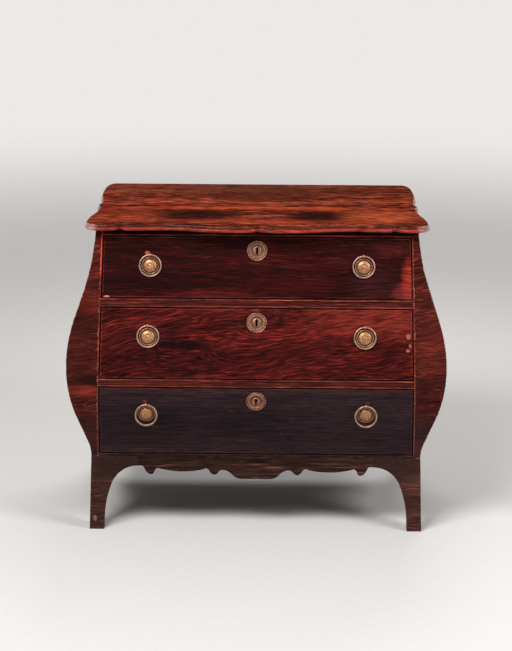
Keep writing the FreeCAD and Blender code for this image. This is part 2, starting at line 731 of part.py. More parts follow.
FRONT_DROPS = (size("inner_drop"), size("outer_drop"))
SIDE_DROPS = (size("inner_drop"),)
front_outline = apron_edges(size("waist_half") - size("arch_inset"), FRONT_DROPS)
front_apron = padded("FrontApron", "XZ_Plane", mirror_edges(front_outline, upright), "apron_wall")
bind(front_apron, "Placement.Base.y", "front_plane + apron_wall")
keep(front_apron, "front_apron")
side_outline = apron_edges(size("case_depth") / 2 - size("arch_inset"), SIDE_DROPS)
side_apron = padded("SideApron", "YZ_Plane", mirror_edges(side_outline, upright), "apron_wall")
bind(side_apron, "Placement.Base.x", "waist_half - apron_wall")
bind(side_apron, "Placement.Base.y", "front_plane + case_depth / 2")
keep(side_apron, "right_side_apron")
keep(mirrored("SideApronLeft", side_apron), "left_side_apron")
keep(box("BackApron", "-waist_half + arch_inset", "waist_half - arch_inset", "case_depth - apron_wall",
         "case_depth", "arch_height", "plinth_top"), "back_apron")
front_block = box("FrontBlock", "inner_drop", "inner_drop + block_length", "apron_wall",
                  "apron_wall + block_size", "plinth_top - block_size", "plinth_top")
side_block = box("SideBlock", "waist_half - apron_wall - block_size", "waist_half - apron_wall",
                 "(case_depth - block_length) / 2", "(case_depth + block_length) / 2",
                 "plinth_top - block_size", "plinth_top")
keep(both_sides("GlueBlocks", [front_block, side_block]), "glue_blocks")


# ---------------------------------------------------------------------------------------------------------
# Top board
# ---------------------------------------------------------------------------------------------------------
def top_outline(back):
    """Return half of the top board's outline; X from the middle, Y from the waist's front face."""
    crown = (size("centre_crown"), -size("centre_crown_front"))
    hollow_start = (size("hollow_start"), -size("hollow_start_front"))
    hollow_end = (size("hollow_end"), -size("hollow_end_front"))
    notch = (size("corner_notch_half"), -size("corner_notch"))
    small_crown = (notch[0] - size("small_crown"), -size("small_crown_front"))
    lobe_start = (size("corner_lobe_start"), -size("corner_lobe_front"))
    corner_start = (size("top_tip_half") - size("corner_radius"), -size("corner_lobe_front"))
    tip = (size("top_tip_half"), size("corner_radius") - size("corner_lobe_front"))
    hollow = (size("side_hollow_half"), size("side_hollow_back"))
    point = (size("side_point_half"), size("side_point_back"))
    second_hollow = (size("side_hollow_half"), 2 * size("side_point_back") - size("side_hollow_back"))
    lobe = (size("side_lobe_half"), size("side_lobe_back"))
    corner_side = (size("back_corner_side"), back - size("back_corner_reach"))
    back_corner = (size("top_back_half"), back)
    lobe_heading = -2 * math.atan((notch[1] - lobe_start[1]) / (lobe_start[0] - notch[0]))
    pieces = tangent_arcs((0, -size("centre_notch")), -math.radians(size("lobe_slope")),
                          [crown, hollow_start, hollow_end, small_crown, notch])
    pieces += tangent_arcs(notch, lobe_heading, [lobe_start])
    pieces.append([lobe_start, corner_start])
    pieces += tangent_arcs(corner_start, 0, [
        tip, midway(tip, hollow), hollow, midway(hollow, point), point, midway(point, second_hollow),
        second_hollow, midway(second_hollow, lobe), lobe, corner_side, back_corner])
    pieces.append([back_corner, (0, back)])
    return pieces


def rim(shape, level):
    """Return the numbers of the edges that run round the front and the sides at a level."""
    back = shape.BoundBox.YMax
    numbers = []
    for number, edge in enumerate(shape.Edges, start=1):
        flat = all(abs(corner.Z - level) < 0.001 for corner in edge.Vertexes)
        if flat and min(corner.Y for corner in edge.Vertexes) < back - 0.001:
            numbers.append(number)
    return numbers


def band(name, inset_formula, height_formula, radius, levels):
    """A plate with the top board's outline, moved in by an inset and rounded at the given levels."""
    inset = sum(size(word) for word in inset_formula.split(" + "))
    outline = doc.addObject("Sketcher::SketchObject", name + "Outline")
    outline.addGeometry(mirror_edges(top_outline(size("top_back") + inset), upright), False)
    bind(outline, "Placement.Base.y", "front_plane")
    bind(outline, "Placement.Base.z", "case_top")
    face = doc.addObject("Part::Offset2D", name + "Inset")
    face.Source = outline
    bind(face, "Value", "-(%s)" % inset_formula)
    plate = doc.addObject("Part::Extrusion", name + "Plate")
    plate.Base = face
    plate.Solid = True
    plate.DirMode = "Custom"
    plate.Dir = Vector(0, 0, 1)
    bind(plate, "LengthFwd", height_formula)
    soft = plate
    for level in levels:
        doc.recompute()
        edges = [(number, radius, radius) for number in rim(soft.Shape, level)]
        rounded = doc.addObject("Part::Fillet", name + "Round")
        rounded.Base = soft
        rounded.Edges = edges
        soft = rounded
    return soft


def top_board():
    """The top: a lower band with a round nose, and a crest that steps in over it."""
    low = size("case_top")
    nose = band("TopNose", "notch_round", "nose_height", size("nose_radius"), (low, low + size("nose_height")))
    crest = band("TopCrest", "notch_round + quirk", "top_thickness", size("crest_radius"),
                 (low + size("top_thickness"),))
    return fuse("TopBoard", [nose, crest])


keep(top_board(), "top_board")


# ---------------------------------------------------------------------------------------------------------
# Fittings: they stand square on the swelling front
# ---------------------------------------------------------------------------------------------------------
def lean_degrees(height):
    """Return how far the front's outward normal points up at a height."""
    return math.degrees(math.atan(-front_curve.lean(height)))


def normal_at(height):
    """Return the front's outward normal at a height."""
    lean = math.radians(lean_degrees(height))
    return Vector(0, -math.cos(lean), math.sin(lean))


def front_point(across, height):
    """Return the point of the front face at a height."""
    return Vector(across, FRONT - front_curve.bulge(height), height)


def stand_on_front(thing, across, height, lift=0.0):
    """Place a thing so that its own Z axis is the front's outward normal at a height."""
    thing.Placement.Rotation = Rotation(Vector(1, 0, 0), 90 - lean_degrees(height))
    thing.Placement.Base = front_point(across, height) + normal_at(height) * lift
    return thing


def cap_arc(radius, low, high):
    """Return the arc of a round cap, from its rim to its top on the axis."""
    rise = high - low
    ball = (radius ** 2 + rise ** 2) / (2 * rise)
    half = math.asin(radius / ball) / 2
    middle = Vector(ball * math.sin(half), high - ball + ball * math.cos(half), 0)
    return Part.Arc(Vector(radius, low, 0), middle, Vector(0, high, 0))


def escutcheon(name, drawer_name, channel):
    """A round keyhole plate with a moulded rim, seated on the front."""
    rim = size("escutcheon_radius")
    height = size("escutcheon_height")
    below = -size("plate_footing")
    inner = rim * 0.52
    outline = [
        Part.LineSegment(Vector(0, below, 0), Vector(rim, below, 0)),
        Part.LineSegment(Vector(rim, below, 0), Vector(rim, height * 0.35, 0)),
        Part.Arc(Vector(rim, height * 0.35, 0), Vector(rim * 0.9, height, 0), Vector(rim * 0.76, height * 0.6, 0)),
        Part.Arc(Vector(rim * 0.76, height * 0.6, 0), Vector(rim * 0.68, height * 0.4, 0),
                 Vector(rim * 0.6, height * 0.45, 0)),
        Part.Arc(Vector(rim * 0.6, height * 0.45, 0), Vector(rim * 0.56, height * 0.6, 0),
                 Vector(inner, height * 0.45, 0)),
        cap_arc(inner, height * 0.45, height * 0.68),
        Part.LineSegment(Vector(0, height * 0.68, 0), Vector(0, below, 0)),
    ]
    body = stand_on_front(turned(name + "Turned", outline), 0, size(drawer_name + "_key_z"))
    return cut(name, cut(name + "Seated", body, front_face), channel)


def pull_plate(name, across, height):
    """A domed round plate with a moulded rim, seated on the front."""
    rim = size("plate_radius")
    dome = size("dome_radius")
    top = size("dome_height")
    below = -size("plate_footing")
    outline = [
        Part.LineSegment(Vector(0, below, 0), Vector(rim, below, 0)),
        Part.LineSegment(Vector(rim, below, 0), Vector(rim, top * 0.2, 0)),
        Part.Arc(Vector(rim, top * 0.2, 0), Vector((rim + dome) * 0.51, top * 0.42, 0),
                 Vector(dome * 1.08, top * 0.28, 0)),
        Part.LineSegment(Vector(dome * 1.08, top * 0.28, 0), Vector(dome, top * 0.36, 0)),
        cap_arc(dome, top * 0.36, top),
        Part.LineSegment(Vector(0, top, 0), Vector(0, below, 0)),
    ]
    body = stand_on_front(turned(name + "Turned", outline), across, height)
    return cut(name, body, front_face)


def pull_post(name, across, height):
    """A post through the drawer front: its eye holds the ring, its nut sits behind the front."""
    through = size("front_wall") * math.cos(math.radians(lean_degrees(height)))
    stem = doc.addObject("Part::Cylinder", name + "Stem")
    bind(stem, "Radius", "stem_radius")
    stem.Height = size("eye_height") + through + size("nut_height") + size("stem_end")
    stand_on_front(stem, across, height, -through - size("nut_height") - size("stem_end"))
    eye = doc.addObject("Part::Cylinder", name + "Eye")
    bind(eye, "Radius", "eye_radius")
    bind(eye, "Height", "eye_length")
    centre = front_point(across, height) + normal_at(height) * size("eye_height")
    eye.Placement = FreeCAD.Placement(centre - Vector(size("eye_length") / 2, 0, 0), Rotation(Vector(0, 1, 0), 90))
    hole = doc.addObject("Part::Cylinder", name + "Hole")
    bind(hole, "Radius", "eye_hole")
    bind(hole, "Height", "eye_length * 2")
    hole.Placement = FreeCAD.Placement(centre - Vector(size("eye_length"), 0, 0), Rotation(Vector(0, 1, 0), 90))
    post = cut(name, fuse(name + "Whole", [stem, eye]), hole)
    nut = doc.addObject("Part::Prism", name + "NutBlock")
    nut.Polygon = 4
    bind(nut, "Circumradius", "nut_radius")
    bind(nut, "Height", "nut_height")
    stand_on_front(nut, across, height, -through - size("nut_height") - size("seat_gap"))
    return [post, cut(name + "Nut", nut, stem)]


def stem_hole(name, across, height):
    """The hole that a post's stem passes through."""
    hole = doc.addObject("Part::Cylinder", name)
    bind(hole, "Radius", "stem_radius + seat_gap")
    bind(hole, "Height", "front_wall * 3")
    return stand_on_front(hole, across, height, -size("front_wall") * 2)


def ring_clearance(height, tilt):
    """Return the gap between the front and a ring that hangs from the eye at a height, tilted out by degrees."""
    eye = front_point(0, height) + normal_at(height) * size("eye_height")
    down = Vector(0, -math.sin(math.radians(tilt)), -math.cos(math.radians(tilt)))
    gaps = []
    for degrees in range(0, 91, 15):
        reach = size("ring_radius") * (1 + math.cos(math.radians(degrees)))
        spot = eye + down * reach
        face = front_point(0, spot.z)
        gaps.append((face.y - spot.y) * math.cos(math.radians(lean_degrees(spot.z))) - size("ring_wire"))
    return min(gaps)


def resting_tilt(height):
    """Return the tilt at which a ring lies on the front."""
    low, high = -60.0, 60.0
    for _ in range(40):
        middle = (low + high) / 2
        if ring_clearance(height, middle) < size("rest_gap"):
            low = middle
        else:
            high = middle
    return high


def ring(name, across, height, tilt):
    """The ring of a pull, hanging from the eye at a height."""
    centre = front_point(across, height) + normal_at(height) * size("eye_height")
    centre += Vector(0, -math.sin(math.radians(tilt)), -math.cos(math.radians(tilt))) * size("ring_radius")
    loop = doc.addObject("Part::Torus", name)
    bind(loop, "Radius1", "ring_radius")
    bind(loop, "Radius2", "ring_wire")
    loop.Placement = FreeCAD.Placement(centre, Rotation(Vector(1, 0, 0), 90 - tilt))
    return loop


# ---------------------------------------------------------------------------------------------------------
# Drawers
# ---------------------------------------------------------------------------------------------------------
def key_channel(name, drawer_name):
    """The keyhole's shape, long enough to pass through escutcheon, drawer front and lock."""
    key_z = drawer_name + "_key_z"
    slot = box(name + "Slot", "-key_slot / 2", "key_slot / 2", FRONT_LIMIT, "front_wall + front_belly",
               key_z + " - key_length / 2", key_z + " + key_length / 2 - key_head")
    head = doc.addObject("Part::Cylinder", name + "Head")
    bind(head, "Radius", "key_head")
    bind(head, "Height", "front_wall + front_belly * 3")
    head.Placement.Rotation = Rotation(Vector(1, 0, 0), 90)
    bind(head, "Placement.Base.y", "front_plane + front_wall + front_belly")
    bind(head, "Placement.Base.z", key_z + " + key_length / 2 - key_head")
    return fuse(name, [slot, head])


drawer_outline = opening_form("DrawerOutline", "-reveal")


def drawer(drawer_name):
    """Make one drawer with its lock, its escutcheon and its two ring pulls."""
    title = drawer_name.capitalize()
    low, high = OPENINGS[drawer_name]
    front_low = low + " + reveal"
    front_high = high + " - reveal"
    side_high = high + " - box_headroom"
    floor_low = low + " + running_gap + box_floor_height"
    inner_half = "box_half - box_wall"
    pull_height = size(drawer_name + "_pull_z")
    share = (pull_height - size("plinth_top")) / (size("case_top") - size("plinth_top"))
    half_here = size("opening_half_low") + share * (size("opening_half_top") - size("opening_half_low"))
    pull_across = half_here - size("pull_inset")
    eye_height = pull_height + size("ring_radius")

    channel = key_channel(title + "Keyhole", drawer_name)
    lock_y = drawer_name + "_lock_front"
    case_block = box(title + "LockBlock", "-lock_width / 2", "lock_width / 2", lock_y, lock_y + " + lock_depth",
                     front_high + " - lock_height", front_high)
    pocket = box(title + "LockPocket", "-lock_width / 2 - seat_gap", "lock_width / 2 + seat_gap",
                 lock_y + " - seat_gap", lock_y + " + front_wall * 2", front_high + " - lock_height - seat_gap",
                 front_high + " + reveal")
    bolt_high = front_high + " - bolt_gap"
    bolt_low = bolt_high + " - bolt_height"
    bolt = bolt_box(title + "Bolt", drawer_name, "0", bolt_low, bolt_high)
    bolt_way = bolt_box(title + "BoltWay", drawer_name, "bolt_gap", bolt_low + " - bolt_gap",
                        front_high + " + reveal")

    span = box(title + "FrontSpan", "-" + "(" + SIDE_LIMIT + ")", SIDE_LIMIT, FRONT_LIMIT, "front_wall * 2",
               front_low, front_high)
    plank = common(title + "FrontPlank", common(title + "FrontFace", front_shell, drawer_outline), span)
    right_hole = stem_hole(title + "StemHole", pull_across, eye_height)
    holes = fuse(title + "FrontCuts", [channel, pocket, right_hole, mirrored(title + "StemHoleLeft", right_hole)])
    keep(cut(title + "Front", plank, holes), drawer_name + "_drawer_front")

    side_span = box(title + "SideSpan", inner_half, "box_half", FRONT_LIMIT, "box_end",
                    low + " + running_gap", side_high)
    side = common(title + "Side", side_span, front_inside)
    keep(both_sides(title + "Sides", [side]), drawer_name + "_drawer_sides")
    floor_span = box(title + "FloorSpan", "-" + inner_half.replace(" - ", " + "), inner_half, FRONT_LIMIT,
                     "box_end", floor_low, floor_low + " + box_floor")
    keep(common(title + "Floor", floor_span, front_inside), drawer_name + "_drawer_bottom")
    keep(box(title + "Back", "-" + inner_half.replace(" - ", " + "), inner_half, "box_end - box_back_wall",
             "box_end", floor_low + " + box_floor", side_high), drawer_name + "_drawer_back")

    keep(escutcheon(title + "Escutcheon", drawer_name, channel), drawer_name + "_escutcheon")
    keep(cut(title + "LockCase", case_block, fuse(title + "LockCuts", [bolt_way, channel])),
         drawer_name + "_lock_case")
    keep(bolt, drawer_name + "_lock_bolt")
    keep(both_sides(title + "Plates", [pull_plate(title + "Plate", pull_across, pull_height)]),
         drawer_name + "_pull_plates")
    keep(both_sides(title + "Posts", pull_post(title + "Post", pull_across, eye_height)),
         drawer_name + "_pull_posts")
    lying = resting_tilt(eye_height)
    right_ring = ring(title + "Ring", pull_across, eye_height, max(lying, 0.0))
    keep(right_ring, drawer_name + "_right_ring")
    keep(mirrored(title + "RingLeft", right_ring), drawer_name + "_left_ring")
    eye = front_point(pull_across, eye_height) + normal_at(eye_height) * size("eye_height")
    print("%s pull: eye at %.3f %.3f %.3f, ring hangs at %.2f, lies at %.2f degrees" % (
        drawer_name, eye.x, eye.y, eye.z, max(lying, 0.0), lying))


for drawer_name in OPENINGS:
    drawer(drawer_name)

doc.recompute()
bad = [thing.Name for thing in doc.Objects if "Invalid" in thing.State or "Error" in thing.State]
bad += [thing.Label for thing in nodes if thing.Shape.isNull() or not thing.Shape.isValid()]
if bad:
    raise RuntimeError("failed: " + ", ".join(bad))
for thing in nodes:
    thing.Shape.exportStep("parts/%s.step" % thing.Label)
    print("%-28s %2d solids  %9.0f mm3" % (thing.Label, len(thing.Shape.Solids), thing.Shape.Volume))
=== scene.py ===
"""Bombe chest of three drawers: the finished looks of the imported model, in metres.

+X is the right-hand side seen from the front, -Y is the front and +Z is up.
"""
import logging
import math
from dataclasses import dataclass, replace
from enum import Enum
from typing import TypeAlias

import bmesh
import bpy
from mathutils import Matrix, Vector


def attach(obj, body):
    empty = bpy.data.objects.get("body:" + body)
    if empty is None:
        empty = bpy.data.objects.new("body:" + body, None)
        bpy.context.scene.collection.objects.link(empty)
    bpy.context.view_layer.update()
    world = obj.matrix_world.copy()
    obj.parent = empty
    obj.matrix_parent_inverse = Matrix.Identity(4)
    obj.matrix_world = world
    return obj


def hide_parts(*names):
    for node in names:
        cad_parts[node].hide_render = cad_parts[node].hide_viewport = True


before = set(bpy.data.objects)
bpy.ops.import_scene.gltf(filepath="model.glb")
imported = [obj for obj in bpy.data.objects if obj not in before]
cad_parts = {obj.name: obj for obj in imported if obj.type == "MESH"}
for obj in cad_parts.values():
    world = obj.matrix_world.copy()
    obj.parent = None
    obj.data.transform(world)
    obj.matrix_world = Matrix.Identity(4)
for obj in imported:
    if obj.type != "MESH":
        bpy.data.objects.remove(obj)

log = logging.getLogger("bombe_chest")
MM = 0.001

Number: TypeAlias = "Signal | float"
Triple = tuple[float, float, float]
Shape = bmesh.types.BMesh

# A colour as it shows on screen, 0 to 255, and in the linear values that shaders take; and a wood's colours,
# from dark to light, with their places from 0 to 1
Screen = tuple[int, int, int]
Colour = tuple[float, float, float, float]
Stops = tuple[tuple[float, Screen], ...]


def shade(colour: Screen) -> Colour:
    """Return a screen colour in linear values."""
    parts = [part / 255 for part in colour]
    return (*(p / 12.92 if p <= 0.04045 else ((p + 0.055) / 1.055) ** 2.4 for p in parts), 1.0)


# -------- Shader tools --------
class Signal:
    """A number that varies over a surface: a shader socket on which Python's operators work."""

    def __init__(self, recipe: "Recipe", socket: bpy.types.NodeSocket) -> None:
        """Keep the socket and the recipe that it belongs to."""
        self.recipe = recipe
        self.socket = socket

    def _math(self, operation: str, first: Number, second: Number = 0.0,
              clamp: bool = False) -> "Signal":
        """Return the output of a new Math node."""
        settings = {"operation": operation, "use_clamp": clamp}
        return self.recipe.value("ShaderNodeMath", settings, {0: first, 1: second})

    def __add__(self, other: Number) -> "Signal":
        """Return self + other."""
        return self._math("ADD", self, other)

    __radd__ = __add__

    def __sub__(self, other: Number) -> "Signal":
        """Return self - other."""
        return self._math("SUBTRACT", self, other)

    def __rsub__(self, other: float) -> "Signal":
        """Return other - self."""
        return self._math("SUBTRACT", other, self)

    def __mul__(self, other: Number) -> "Signal":
        """Return self * other."""
        return self._math("MULTIPLY", self, other)

    __rmul__ = __mul__

    def __truediv__(self, other: Number) -> "Signal":
        """Return self / other."""
        return self._math("DIVIDE", self, other)

    def __pow__(self, other: float) -> "Signal":
        """Return self to a power."""
        return self._math("POWER", self, other)

    def __abs__(self) -> "Signal":
        """Return the size of self, without its sign."""
        return self._math("ABSOLUTE", self)

    def sine(self) -> "Signal":
        """Return the sine of self."""
        return self._math("SINE", self)

    def clamped(self) -> "Signal":
        """Return self kept between 0 and 1."""
        return self._math("ADD", self, 0.0, clamp=True)

    def larger(self, other: Number) -> "Signal":
        """Return the larger of self and other."""
        return self._math("MAXIMUM", self, other)

    def smaller(self, other: Number) -> "Signal":
        """Return the smaller of self and other."""
        return self._math("MINIMUM", self, other)

    def ease(self, low: float, high: float) -> "Signal":
        """Return a smooth step: 0 where self is at low and 1 where it is at high."""
        settings = {"interpolation_type": "SMOOTHSTEP"}
        return self.recipe.value("ShaderNodeMapRange", settings,
                                 {"Value": self, "From Min": low, "From Max": high})


class Recipe:
    """The node tree of one material or of the world."""

    def __init__(self, tree: bpy.types.NodeTree) -> None:
        """Start from an empty tree."""
        self.tree = tree
        tree.nodes.clear()

    def node(self, kind: str, settings: dict | None = None, inputs: dict | None = None) -> bpy.types.Node:
        """Add a node.

        Args:
            kind: the node's type.
            settings: its properties, set first; "stops" are a colour ramp's (position, colour) pairs.
            inputs: values or signals by socket name or number.

        Returns:
            The new node.
        """
        node = self.tree.nodes.new(kind)
        for name, value in (settings or {}).items():
            if name == "stops":
                self._set_stops(node.color_ramp, value)
            else:
                setattr(node, name, value)
        for name, value in (inputs or {}).items():
            if isinstance(value, Signal):
                self.tree.links.new(value.socket, node.inputs[name])
            else:
                node.inputs[name].default_value = value
        return node

    @staticmethod
    def _set_stops(ramp: bpy.types.ColorRamp, stops: list[tuple[float, Colour]]) -> None:
        """Give a colour ramp its stops.

        Args:
            ramp: the ramp.
            stops: each stop's position and colour.
        """
        while len(ramp.elements) < len(stops):
            ramp.elements.new(1.0)
        for element, (position, colour) in zip(ramp.elements, stops):
            element.position = position
            element.color = colour

    def value(self, kind: str, settings: dict | None = None, inputs: dict | None = None,
              output: str | int = 0) -> Signal:
        """Add a node and return one of its outputs."""
        return Signal(self, self.node(kind, settings, inputs).outputs[output])

    def place(self) -> tuple[Signal, Signal, Signal]:
        """Return the surface point's X, Y and Z in the object's own metres."""
        split = self.node("ShaderNodeSeparateXYZ", None,
                          {0: self.value("ShaderNodeTexCoord", output="Object")})
        return tuple(Signal(self, output) for output in split.outputs)

    def point(self, x: Number, y: Number, z: Number) -> Signal:
        """Return a vector made of three numbers."""
        return self.value("ShaderNodeCombineXYZ", None, {0: x, 1: y, 2: z})

    def noise(self, where: Signal, scale: float = 1.0, detail: float = 2.0, rough: float = 0.5) -> Signal:
        """Return smooth noise from 0 to 1."""
        return self.value("ShaderNodeTexNoise", {"noise_dimensions": "3D"},
                          {"Vector": where, "Scale": scale, "Detail": detail, "Roughness": rough}, "Fac")

    def ramp(self, amount: Signal, stops: Stops) -> Signal:
        """Return a colour that runs through stops."""
        shaded = [(position, shade(colour)) for position, colour in stops]
        return self.value("ShaderNodeValToRGB", {"stops": shaded}, {"Fac": amount}, "Color")

    def mix(self, amount: Signal, first: "Signal | Screen", second: "Signal | Screen") -> Signal:
        """Return a mix of two colours."""
        first, second = (part if isinstance(part, Signal) else shade(part) for part in (first, second))
        return self.value("ShaderNodeMix", {"data_type": "RGBA"}, {0: amount, 6: first, 7: second}, 2)

    def attribute(self, name: str) -> Signal:
        """Return a number stored on the mesh."""
        return self.value("ShaderNodeAttribute", {"attribute_name": name}, output="Fac")

    def bump(self, height: Signal, distance: float, strength: float) -> Signal:
        """Return normals dented by a height."""
        inputs = {"Height": height, "Distance": distance, "Strength": strength}
        return self.value("ShaderNodeBump", None, inputs)


# -------- Finishes --------
class Grain(Enum):
    """The axis that a wood's grain runs along."""

    ACROSS = "X"
    DEPTH = "Y"
    UPRIGHT = "Z"


@dataclass(frozen=True)
class Finish:
    """A finish for pieces, with its name and the record's material slot that it belongs to."""

    slot: str
    name: str

    def material(self) -> bpy.types.Material:
        """Make the finish's material, or find it where it is made already.

        Returns:
            The material.
        """
        made = bpy.data.materials.get("finish_" + self.name)
        if made is None:
            made = bpy.data.materials.new("finish_" + self.name)
            made.use_nodes = True
            recipe = Recipe(made.node_tree)
            surface = self.surface(recipe)
            recipe.node("ShaderNodeOutputMaterial", None, {"Surface": surface})
        return made

    def surface(self, recipe: Recipe) -> Signal:
        """Return the finish's shader."""
        raise NotImplementedError


@dataclass(frozen=True)
class Mark:
    """A spot on a wood surface, seen from the front or, on the top, from above: a soft stain or a chip; a few
    are painted reflection and painted shade.
    """

    across: float
    along: float
    half_width: float
    half_length: float
    colour: Screen
    strength: float = 1.0
    chip: bool = False


@dataclass(frozen=True)
class Rim:
    """The outline of a drawer front: its heights, and its half widths at its foot and at its head."""

    low: float
    high: float
    half_low: float
    half_high: float

    def inside(self, x: Signal, z: Signal) -> Signal:
        """Return how far a point of the front lies inside the outline."""
        half = (z - self.low) / (self.high - self.low) * (self.half_high - self.half_low) + self.half_low
        return (half - abs(x)).smaller(z - self.low).smaller(self.high - z)


@dataclass(frozen=True)
class Layer:
    """A layer of a wood's figure, with how often it changes in a metre along and across the grain."""

    along: float
    across: float
    detail: float = 2.0
    rough: float = 0.5

    def noise(self, recipe: Recipe, place: tuple[Signal, Signal, Signal]) -> Signal:
        """Return the layer, from 0 to 1, over a place measured along the grain and twice across it."""
        where = recipe.point(place[0] * self.along, place[1] * self.across, place[2] * self.across)
        return recipe.noise(where, 1.0, self.detail, self.rough)


RIPPLES = Layer(20.0, 50.0)
TONE = Layer(1.6, 15.0, 3.0)
ISLANDS = Layer(3.4, 36.0, 2.0, 0.45)
PORES = Layer(75.0, 1500.0)
CHIPPED = Layer(260.0, 260.0, 3.0, 0.7)
STAINED = Layer(40.0, 130.0, 5.0, 0.75)
RIPPLE_DEPTH = 0.0022
TONE_SHARE, STREAK_SHARE, LINE_SHARE = 0.25, 0.45, 0.3
SPREAD = 1.9
# The streaks' range over which stains take to the grain, and how deep the grain is felt, in metres
GRAIN_TAKES, GRAIN_DEPTH = (0.3, 0.66), 0.0003
# How often rubbing and smears change in a metre
RUB_SCALE, SMEAR_SCALE = 90.0, 9.0

# Veneer leaves: the blur where two meet, how far the figure jumps at the first joint, how much more at each
# next one, and a dark joint's inner and outer reach
LEAF_BLUR, LEAF_JUMP, LEAF_JUMP_MORE = 0.0002, 0.37, 0.23
JOINT_REACH = (0.0003, 0.0012)

# Distances inside a drawer front's rim: where the painted shade of the gap round it ends, and where its
# rubbed line starts and ends
RIM_SHADE = (0.0014, 0.0026)
RUB_START, RUB_END = (0.0022, 0.0032), (0.0036, 0.0052)
# Colours of pores, of veneer joints, and of painted shade: the gaps round drawer fronts and the shadow under
# the top
PORE_BROWN, JOINT_BROWN, PAINTED_SHADE = (14, 6, 5), (20, 8, 7), (10, 5, 5)

# Between these depths the marks of the front fade out, and over this height the painted shadow under the top
# ends
FRONT_FADE, SHADOW_FADE = (-0.12, -0.1), 0.003


@dataclass(frozen=True)
class Wood(Finish):
    """Polished wood with streaks, pores and a waving figure.

    The streaks are drawn out along the grain; lean turns them about the front-to-back axis, in degrees.
    Painted shade lies along a drawer front's rim, for the gap round it, and a painted shadow lies above a set
    height, under the top's overhang.
    """

    grain: Grain = Grain.ACROSS
    stops: Stops = ()
    lean: float = 0.0
    wave: float = 0.006
    wave_length: float = 0.16
    wave_height: float = 0.07
    streak: float = 110.0
    draw: float = 9.0
    contrast: float = 1.0
    veins: float = 0.075
    vein_count: float = 92.0
    pore: float = 0.5
    rough: float = 0.36
    gloss: float = 0.02
    rim: Rim | None = None
    # Height above which a painted shadow, as under the top's overhang, darkens the wood
    painted_shadow_above: float | None = None
    edge: Screen = (96, 50, 40)
    edge_wear: float = 0.3
    leaves: tuple[float, ...] = ()
    marks: tuple[Mark, ...] = ()
    seed: float = 0.0

    def _directions(self, recipe: Recipe) -> tuple[Signal, Signal, Signal]:
        """Measure a place as the grain runs.

        Args:
            recipe: the node tree.

        Returns:
            The distances along the grain and in the two directions across it.
        """
        x, y, z = recipe.place()
        if self.lean:
            cosine, sine = math.cos(math.radians(self.lean)), math.sin(math.radians(self.lean))
            x, z = x * cosine + z * sine, z * cosine - x * sine
        if self.grain is Grain.ACROSS:
            return x, z, y
        if self.grain is Grain.DEPTH:
            return y, z, x
        return z, x, y

    def surface(self, recipe: Recipe) -> Signal:
        """Build the wood's shader.

        Args:
            recipe: the node tree.

        Returns:
            The shader.
        """
        along, over, deep = self._directions(recipe)
        height = recipe.place()[2]
        shift = 0.0
        joint = None
        for number, level in enumerate(self.leaves):
            above = (height - level).ease(-LEAF_BLUR, LEAF_BLUR)
            shift = above * (LEAF_JUMP + LEAF_JUMP_MORE * number) + shift
            line = 1 - abs(height - level).ease(*JOINT_REACH)
            joint = line if joint is None else joint.larger(line)
        along = along + shift + self.seed
        straight = (along, over, deep)
        broad_wave = Layer(1 / self.wave_length, 1 / self.wave_height).noise(recipe, straight)
        ripple = (RIPPLES.noise(recipe, straight) - 0.5) * RIPPLE_DEPTH
        over = over + (broad_wave - 0.5) * (self.wave * 4) + ripple
        deep = deep + (broad_wave - 0.5) * (self.wave * 2)

        place = (along, over, deep)
        tone = TONE.noise(recipe, place)
        streaks = Layer(self.draw, self.streak, 4.0, 0.6).noise(recipe, place)
        lines = Layer(self.draw * 1.6, self.streak * 4, 3.0, 0.6).noise(recipe, place)
        pores = PORES.noise(recipe, place).ease(0.6, 0.72)
        veins = (ISLANDS.noise(recipe, place) * self.vein_count + streaks * 6.0).sine() * 0.5
        mixed = tone * TONE_SHARE + streaks * STREAK_SHARE + lines * LINE_SHARE + veins * self.veins
        mixed = (mixed - 0.5) * (SPREAD * self.contrast) + 0.5
        colour = recipe.ramp(mixed.clamped(), self.stops)
        colour = recipe.mix(pores * self.pore, colour, PORE_BROWN)
        if joint is not None:
            colour = recipe.mix(joint * 0.75, colour, JOINT_BROWN)
        grained = (streaks + veins * 0.12).ease(*GRAIN_TAKES) * 0.75 + 0.25
        for mark in self.marks:
            amount = self._spot(recipe, mark) * mark.strength
            colour = recipe.mix(amount if mark.chip else amount * grained, colour, mark.colour)
        colour = self._bands(recipe, colour, streaks)
        rub = recipe.noise(recipe.point(*recipe.place()), RUB_SCALE, 3.0, 0.7).ease(0.45, 0.68)
        worn = recipe.attribute("worn") * rub * self.edge_wear
        colour = recipe.mix(worn, colour, self.edge)
        smear = recipe.noise(recipe.point(*recipe.place()), SMEAR_SCALE, 3.0)
        rough = smear * 0.16 + lines * 0.08 + pores * 0.2 + worn * 0.15 + (self.rough - 0.12)
        dents = lines * 0.5 + streaks * 0.7 - pores * 0.9
        shader = recipe.node("ShaderNodeBsdfPrincipled", None, {
            "Base Color": colour, "Roughness": rough.clamped(),
            "Normal": recipe.bump(dents, GRAIN_DEPTH, 0.35)})
        shader.inputs["Specular IOR Level"].default_value = self.gloss
        self._polish(recipe, shader)
        return Signal(recipe, shader.outputs[0])

    def _bands(self, recipe: Recipe, colour: Signal, streaks: Signal) -> Signal:
        """Add a rubbed line and the painted shade of the gap along a drawer front's rim, and the painted
        shadow under the top.

        Args:
            recipe: the node tree.
            colour: the wood's colour so far.
            streaks: the wood's streaks.

        Returns:
            The colour with its bands.
        """
        x, _, z = recipe.place()
        if self.rim is not None:
            inside = self.rim.inside(x, z)
            rubbed = inside.ease(*RUB_START) * (1 - inside.ease(*RUB_END)) * streaks.ease(0.34, 0.56)
            colour = recipe.mix(rubbed * 0.45, colour, self.edge)
